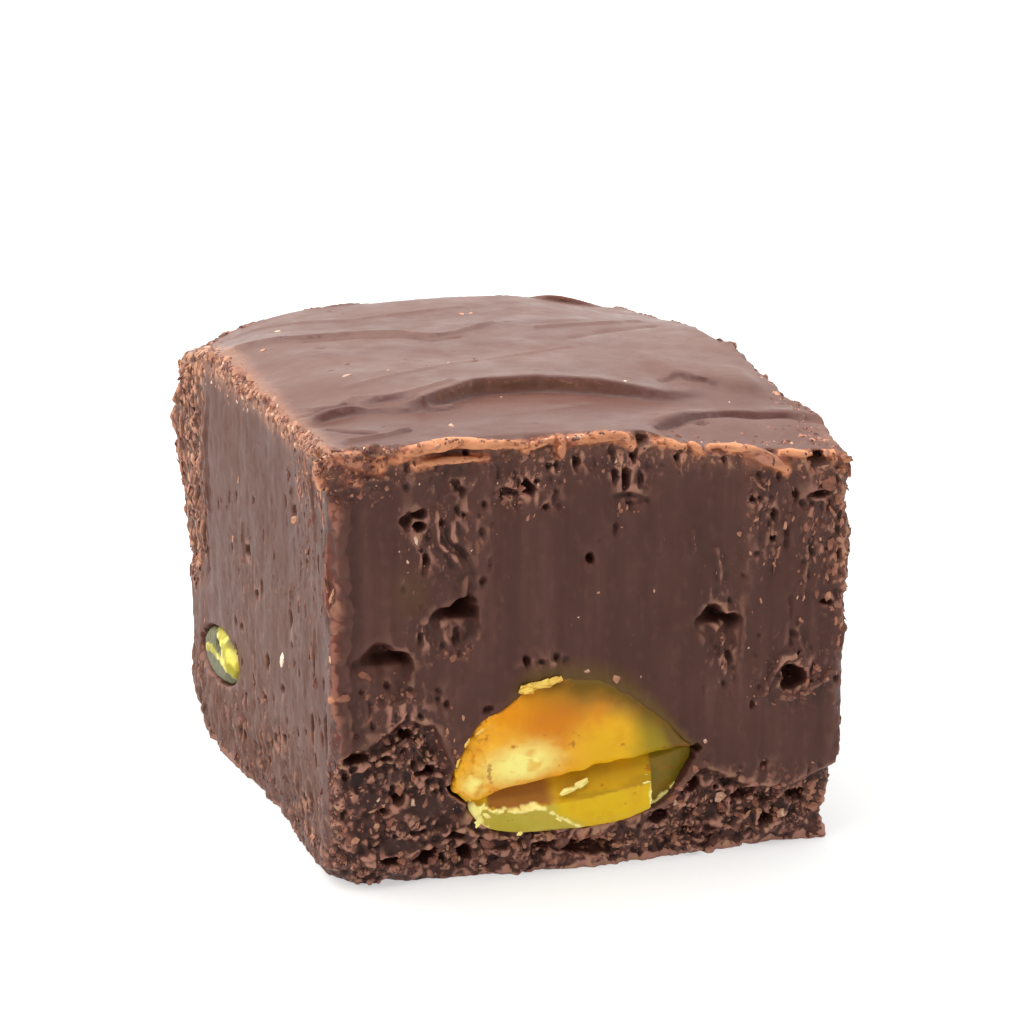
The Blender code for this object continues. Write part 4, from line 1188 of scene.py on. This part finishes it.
def make_kernels():
    """The front kernel's two halves and the one in the left side, with the numbers they are painted by."""
    crack = np.interp(UPPER_X, CRACK_X, CRACK_Z) + CRACK_GAP / 2
    upper = outline_form("kernel_upper", UPPER_ENDS, UPPER_X, UPPER_TOP, crack)
    crack = np.interp(LOWER_X, CRACK_X, CRACK_Z) + 0.25
    lower = outline_form("kernel_lower", LOWER_ENDS, LOWER_X, crack, LOWER_FOOT)
    left = left_form("kernel_left")
    plane_cut(left, (LEFT_KERNEL[0], LEFT_BREAK_Y, LEFT_KERNEL[2]), (-0.2, -1, 0.25))
    plane_cut(left, (LEFT_CUT_X, LEFT_KERNEL[1], LEFT_KERNEL[2]), (-1, 0.02, 0.06))
    even_skin(upper, sculpt_upper, KERNEL_TRIANGLES)
    even_skin(lower, sculpt_lower, KERNEL_TRIANGLES)
    even_skin(left, sculpt_left, LEFT_TRIANGLES)
    upper_chips = add_chips(upper, UPPER_CHIPS, CHIP_SEEDS[0])
    lower_chips = add_chips(lower, LOWER_CHIPS, CHIP_SEEDS[1])

    points = block_points(upper.data)
    x, _, z = points.T
    chip = np.arange(len(x)) >= upper_chips
    wander = 0.5 * waves(points, 1.3, 131) + 0.25 * waves(points, 0.5, 133)
    top = soft_line(x, UPPER_X, UPPER_TOP, 0.4)
    smear = smooth(2.3, 0.3, top - z + 0.6 * wander) * smooth(10.5, 14, x + wander)
    # Painted highlight: a pale patch on the lower left of the dome, and a smaller one on the lobe below it,
    # broken up by noise.
    shine = blob(x, z - 0.1 * (x - 11), 11 + 0.4 * wander, 6.7, 3.3, 1.9)
    shine = np.maximum(shine, 0.8 * blob(x, z, 8.5, 5.7 + 0.3 * wander, 1.1, 0.9))
    broken = 1 - 0.6 * smooth(0.25, 0.6, waves(points, (0.5, 0.5, 0.35), 141))
    # Painted shade: an olive darkening at the lower left of the upper half, under its lobe.
    low_left = blob(x, z, 7.7, 4.4, 1.1, 0.9)
    store(
        upper.data,
        pale=np.clip(1.2 * shine * broken + 0.45 * chip, 0, 1),
        olive=np.clip(smooth(16.6, 18.4, x + wander) + low_left, 0, 1) * ~chip,
        smear=np.clip(smear + smooth(19, 21, x + wander), 0, 1) * ~chip,
        amber=blob(x, z, 13, 9.2, 4.2, 2.4),
        yellow=smooth(13, 16, x + wander) * smooth(9.6, 7.6, z + wander),
    )

    points = block_points(lower.data)
    x, _, z = points.T
    chip = np.arange(len(x)) >= lower_chips
    above = z - np.interp(x, FACET_X, FACET_Z)
    beside = ridge_side(x, z)
    streaks = waves(points, (2.6, 2, 0.28), 135)
    lines = 0.35 * (above > 0.05) * smooth(0, 0.4, streaks)
    store(
        lower.data,
        pale=np.clip(lower_edges(points) + chip, 0, 1),
        olive=np.clip(smooth(END_X, END_X + 0.12, x) + lines, 0, 1),
        # Painted shade: the recess between the crack and the left facet painted a darker amber-brown.
        smear=recess_part(x, z),
        amber=smooth(0, 0.08, above),
        yellow=smooth(-0.06, 0.06, beside) * smooth(-0.1, 0.5, beside + 0.5 * streaks),
    )

    points = block_points(left.data)
    _, y, z = points.T
    bright = left_bright(points)
    rim = smooth(0.9, 1.1, left_kernel_reach(y, z))
    store(
        left.data,
        pale=0.9 * bright * smooth(-0.2, 0.4, waves(points, (0.9, 0.5, 0.4), 139)),
        olive=1 - bright,
        # Darkened along its outline, and the gap in its flesh painted near-black as painted shade.
        smear=np.maximum(rim, blob(y, z, *LEFT_GAP)),
    )
    return upper, lower, left


def srgb(red, green, blue):
    """A colour given as it looks on screen, 0 to 255, as linear light with full cover."""
    values = np.array([red, green, blue]) / 255
    linear = np.where(values <= 0.04045, values / 12.92, ((values + 0.055) / 1.055) ** 2.4)
    return *map(float, linear), 1


class Nodes:
    """Small helpers that add shader nodes to one material or to the surroundings."""

    def __init__(self, owner, shader="Principled BSDF"):
        owner.use_nodes = True
        self.owner = owner
        self.tree = owner.node_tree
        self.shader = self.tree.nodes[shader]

    def fill(self, inputs, node=None):
        """Links each input that is given a socket, and sets the others."""
        sockets = (node or self.shader).inputs
        for name, value in inputs.items():
            if isinstance(value, bpy.types.NodeSocket):
                self.tree.links.new(value, sockets[name])
            else:
                sockets[name].default_value = value

    def add(self, kind, inputs, output=0, **settings):
        """Adds a node and gives one of its outputs."""
        node = self.tree.nodes.new("ShaderNode" + kind)
        for name, value in settings.items():
            setattr(node, name, value)
        self.fill(inputs, node)
        return node.outputs[output]

    def stored(self, name, share=1.0):
        """A share of the number that the mesh stores under a name."""
        value = self.add("Attribute", {}, "Fac", attribute_name=name)
        return value if share == 1.0 else self.math("MULTIPLY", value, share)

    def noise(self, scale, detail=3.0, rough=0.55, stretch=(1, 1, 1)):
        place = self.add("Mapping", {"Vector": self.add("TexCoord", {}, "Object"), "Scale": stretch})
        inputs = {"Vector": place, "Scale": scale, "Detail": detail, "Roughness": rough}
        return self.add("TexNoise", inputs, "Fac")

    def ranged(self, value, low, high, to_low=0.0, to_high=1.0):
        return self.add("MapRange", dict(enumerate((value, low, high, to_low, to_high))))

    def math(self, operation, first, second):
        return self.add("Math", {0: first, 1: second}, operation=operation)

    def mix(self, factor, first, second):
        """Two colours mixed; those given as numbers are as they look on screen."""
        pair = [srgb(*colour) if isinstance(colour, tuple) else colour for colour in (first, second)]
        return self.add("Mix", {0: factor, 6: pair[0], 7: pair[1]}, 2, data_type="RGBA", clamp_factor=True)

    def clouds(self, scale, detail, rough, stretch, low, high, first, second):
        """Two colours in soft clouds of noise."""
        return self.mix(self.ranged(self.noise(scale, detail, rough, stretch), low, high), first, second)

    def bump(self, height, strength, distance):
        inputs = {"Height": height, "Strength": strength, "Distance": distance * MM}
        self.fill({"Normal": self.add("Bump", inputs)})

    def times(self, first, *others):
        for other in others:
            first = self.math("MULTIPLY", first, other)
        return first



def fudge_material():
    """Dark fudge with streaks, pale crumb edges, an orange-tan crust and a drier poured top, with painted
    highlights on raised bits and painted shade in hollows, tiny pores and the top's fold.
    """
    kit = Nodes(bpy.data.materials.new("fudge"))
    side = kit.clouds(900, 2, 0.5, (1, 1, 0.07), 0.35, 0.7, (76, 45, 38), (92, 58, 50))
    side = kit.mix(kit.ranged(kit.noise(140), 0.4, 0.7), side, (72, 42, 36))
    side = kit.mix(kit.stored("torn", 0.7), side, (82, 47, 38))
    # Darker smooth patches of the broken band, and painted shade over its left end.
    side = kit.mix(kit.stored("shade", 0.8), side, (54, 32, 28))
    # The left face painted browner and darker against its grey sheen.
    side = kit.mix(kit.stored("brown"), side, (85, 49, 36))
    poured = kit.clouds(90, 4, 0.6, (0.6, 1.6, 1), 0.35, 0.7, (92, 58, 50), (106, 72, 63))
    base = kit.mix(kit.stored("poured"), side, poured)
    # Painted shade: the steep face of the top's fold darkened.
    base = kit.mix(kit.stored("steep", 0.85), base, (78, 38, 33))
    base = kit.mix(kit.stored("red", 0.9), base, (116, 60, 48))
    base = kit.mix(kit.stored("stain", 0.85), base, (96, 72, 26))
    loose = kit.math("MAXIMUM", kit.stored("torn"), kit.stored("pitted"))
    zone = kit.math("ADD", loose, kit.stored("tan"))
    grit = kit.ranged(kit.noise(3400, 2, 0.5, (1, 1, 0.6)), 0.6, 0.7)
    base = kit.mix(kit.times(zone, 0.6, grit), base, (158, 108, 84))
    # Painted shade: near-black specks in the torn, pitted and tan parts, for the shade in tiny pores.
    pore_shade = kit.ranged(kit.noise(2300, 2, 0.5, (1, 1, 0.7)), 0.36, 0.28)
    base = kit.mix(kit.times(zone, 0.8, pore_shade), base, (30, 15, 12))
    # The tan edges' own colour, which is also used for the painted highlights below.
    edge_and_highlight_colour = kit.mix(kit.stored("tan"), (178, 126, 108), (172, 118, 88))
    edge_and_highlight_colour = kit.mix(kit.ranged(kit.noise(1500, 2), 0.54, 0.66), edge_and_highlight_colour, (186, 142, 112))
    # Painted highlight: bits that stand out of their neighbours are painted paler, most in the torn and
    # pitted parts, on top of the tan edges' own colour.
    raised = kit.ranged(kit.stored("raised"), 0.012, 0.045)
    peak_highlight = kit.ranged(kit.stored("raised"), 0.03, 0.085)
    amount = kit.math("ADD", kit.stored("tan"), kit.stored("red", 0.4))
    amount = kit.times(raised, kit.math("ADD", 0.04, amount))
    amount = kit.math("ADD", amount, kit.times(peak_highlight, kit.times(loose, 0.85)))
    amount = kit.math("SUBTRACT", amount, kit.stored("poured", 0.6))
    base = kit.mix(kit.math("MAXIMUM", amount, kit.stored("tan", 0.35)), base, edge_and_highlight_colour)
    crust = kit.clouds(900, 4, 0.65, (0.5, 1, 1.8), 0.4, 0.6, (146, 80, 54), (216, 140, 98))
    # Painted highlight on the raised parts of the crust.
    crust = kit.mix(kit.times(raised, 0.4), crust, (236, 170, 126))
    base = kit.mix(kit.stored("crust", 0.9), base, crust)
    # Painted shade: points lying below their neighbours are painted darker, most in the torn and pitted
    # parts.
    sunk = kit.ranged(kit.stored("raised"), -0.012, -0.06)
    sunk = kit.times(sunk, kit.math("ADD", 0.15, loose), 0.8)
    base = kit.mix(sunk, base, (36, 18, 14))
    rough = kit.ranged(kit.noise(500), 0.3, 0.7, 0.44, 0.6)
    rough = kit.math("SUBTRACT", rough, kit.stored("poured", 0.14))
    kit.fill({"Base Color": base, "Roughness": rough, "Specular IOR Level": 0.22})
    drawn = kit.times(kit.noise(1100, 3, 0.6, (1, 1, 0.12)), 0.8)
    kit.bump(kit.math("ADD", kit.noise(2600, 3, 0.6), drawn), 0.3, 0.05)
    return kit.owner


# The crumbs' colours by their tone
CRUMB_TONES = [
    (0, (58, 32, 26)), (0.35, (100, 58, 47)), (0.6, (144, 90, 70)), (0.85, (186, 134, 104)),
    (1, (228, 206, 186)),
]


def crumb_material():
    """Crumbs from dark brown through reddish and tan to nearly white, by each crumb's own tone."""
    kit = Nodes(bpy.data.materials.new("crumb"))
    tone = kit.math("ADD", kit.stored("tone"), kit.ranged(kit.noise(2400, 2), 0.3, 0.7, -0.12, 0.12))
    ramp = kit.tree.nodes.new("ShaderNodeValToRGB")
    elements = ramp.color_ramp.elements
    while len(elements) < len(CRUMB_TONES):
        elements.new(0.5)
    for element, (where, colour) in zip(elements, CRUMB_TONES):
        element.position = where
        element.color = srgb(*colour)
    kit.fill({"Fac": tone}, ramp)
    kit.fill({"Base Color": ramp.outputs["Color"], "Roughness": 0.5, "Specular IOR Level": 0.35})
    kit.bump(kit.noise(3200), 0.3, 0.03)
    return kit.owner


def kernel_material(name, low, high, marks, **tints):
    """Kernel flesh in soft clouds of two colours, tinted by its stored numbers, with darker marks."""
    kit = Nodes(bpy.data.materials.new(name))
    base = kit.clouds(420, 4, 0.55, (1, 1, 1), 0.35, 0.65, low, high)
    for tint, colour in tints.items():
        base = kit.mix(kit.stored(tint), base, colour)
    mottle = kit.ranged(kit.noise(1100, 5, 0.65), 0.5, 0.75)
    base = kit.mix(kit.times(mottle, 0.3), base, marks[0])
    spots = kit.ranged(kit.noise(1500, 2), 0.67, 0.73)
    base = kit.mix(kit.times(spots, 0.6), base, marks[1])
    kit.fill({
        "Base Color": base, "Roughness": 0.42, "Specular IOR Level": 0.22, "Subsurface Weight": 0.2,
        "Subsurface Radius": (1, 0.6, 0.2), "Subsurface Scale": 0.5 * MM,
    })
    kit.bump(kit.noise(1500, 4, 0.6), 0.35, 0.06)
    return kit.owner


def dress(piece, material, slot, *nodes):
    """Gives a piece its material and its body, and hides the parts of model.glb that it stands for; the slot
    is not used.
    """
    piece.data.materials.clear()
    piece.data.materials.append(material)
    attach(piece, "root")
    if nodes:
        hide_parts(*nodes)


def make_stage():
    """A white floor that runs out of sight."""
    bpy.ops.mesh.primitive_plane_add(size=6, location=(0, 0, 0))
    floor = bpy.context.object
    floor.name = "floor"
    kit = Nodes(bpy.data.materials.new("floor_white"))
    kit.fill({
        "Base Color": (0.4, 0.4, 0.4, 1), "Emission Color": (1, 1, 1, 1), "Emission Strength": 0.5,
        "Roughness": 0.9, "Specular IOR Level": 0.1,
    })
    floor.data.materials.append(kit.owner)
    floor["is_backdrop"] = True


def sun(name, towards, strength, spread, colour):
    """A very soft light from far away; towards points from the block to it."""
    lamp = bpy.data.lights.new(name, "SUN")
    lamp.energy = strength
    lamp.angle = math.radians(spread)
    lamp.color = colour
    thing = new_object(name, lamp)
    thing.rotation_euler = Vector(towards).to_track_quat("Z", "Y").to_euler()


def make_lights():
    """Pale surroundings, brightest behind the block, and two wide, soft lights from above."""
    world = bpy.data.worlds.new("studio")
    bpy.context.scene.world = world
    kit = Nodes(world, "Background")
    behind = kit.add("SeparateXYZ", {0: kit.add("TexCoord", {}, "Generated")}, "Y")
    kit.fill({"Color": (1, 0.985, 0.95, 1), "Strength": kit.ranged(behind, -0.5, 0.7, 0.36, 1.3)})
    sun("key", (-0.45, 0.2, 0.9), 4.3, 80, (1, 0.965, 0.9))
    sun("fill", (0.5, 0.1, 0.9), 1.2, 80, (1, 1, 1))


# The camera that fits the block's corners in the photo
VIEW_YAW = 0.3025
VIEW_PITCH = 0.2519
VIEW_DISTANCE = 155.15
VIEW_SHIFT_RIGHT = 0.273
VIEW_SHIFT_UP = 4.423
VIEW_ANGLE = 22
VIEW_CENTRE = (15, 15, 12)


def make_camera():
    """A camera low in front of the block and a little to its left."""
    yaw, pitch = VIEW_YAW, VIEW_PITCH
    ahead = Vector((math.sin(yaw) * math.cos(pitch), math.cos(yaw) * math.cos(pitch), -math.sin(pitch)))
    right = Vector((math.cos(yaw), -math.sin(yaw), 0))
    up = right.cross(ahead)
    eye = Vector(VIEW_CENTRE) - ahead * VIEW_DISTANCE + right * VIEW_SHIFT_RIGHT + up * VIEW_SHIFT_UP
    lens = bpy.data.cameras.new("camera")
    lens.sensor_width = 36
    lens.lens = 18 / math.tan(math.radians(VIEW_ANGLE) / 2)
    lens.clip_start = 0.005
    camera = new_object("camera", lens)
    turn = Matrix((right, up, -ahead)).transposed().to_4x4()
    turn.translation = in_frame(eye)
    camera.matrix_world = turn
    bpy.context.scene.camera = camera


block = make_block()
crumbs = make_crumbs(block)
upper, lower, left = make_kernels()
dress(block, fudge_material(), "fudge", "fudge_block")
dress(crumbs, crumb_material(), "fudge")
orange_marks = ((206, 112, 22), (158, 84, 22))
# On the upper half, the pale tint (255, 242, 140) is partly a painted highlight, and the olive tint (160,
# 136, 12) is partly painted shade at its lower left.
amber = kernel_material(
    "kernel_amber", (230, 150, 20), (240, 178, 42), orange_marks, amber=(208, 124, 8),
    yellow=(232, 180, 14), pale=(255, 242, 140), olive=(160, 136, 12), smear=(112, 84, 24),
)
# On the lower half, the dark amber-brown tint (166, 108, 40) is painted shade in its recess.
yellow = kernel_material(
    "kernel_yellow", (184, 168, 50), (198, 178, 66), orange_marks, yellow=(224, 184, 8),
    amber=(202, 156, 14), olive=(126, 108, 20), smear=(166, 108, 40), pale=(255, 240, 150),
)
# On the left kernel, the near-black tint (36, 27, 8) darkens its outline and paints shade into the gap in
# its flesh.
green = kernel_material(
    "kernel_green", (138, 130, 18), (170, 160, 36), ((96, 88, 24), (48, 44, 14)),
    pale=(220, 206, 92), olive=(70, 68, 8), smear=(36, 27, 8),
)
dress(upper, amber, "pistachio_amber", "pistachio_front_upper")
dress(lower, yellow, "pistachio_yellow", "pistachio_front_lower")
dress(left, green, "pistachio_green", "pistachio_left")
make_stage()
make_lights()
make_camera()
bpy.context.scene.view_settings.view_transform = "Standard"

[[list(map(float, corner)) for corner in box] for box in (CAD_BOX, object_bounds())]
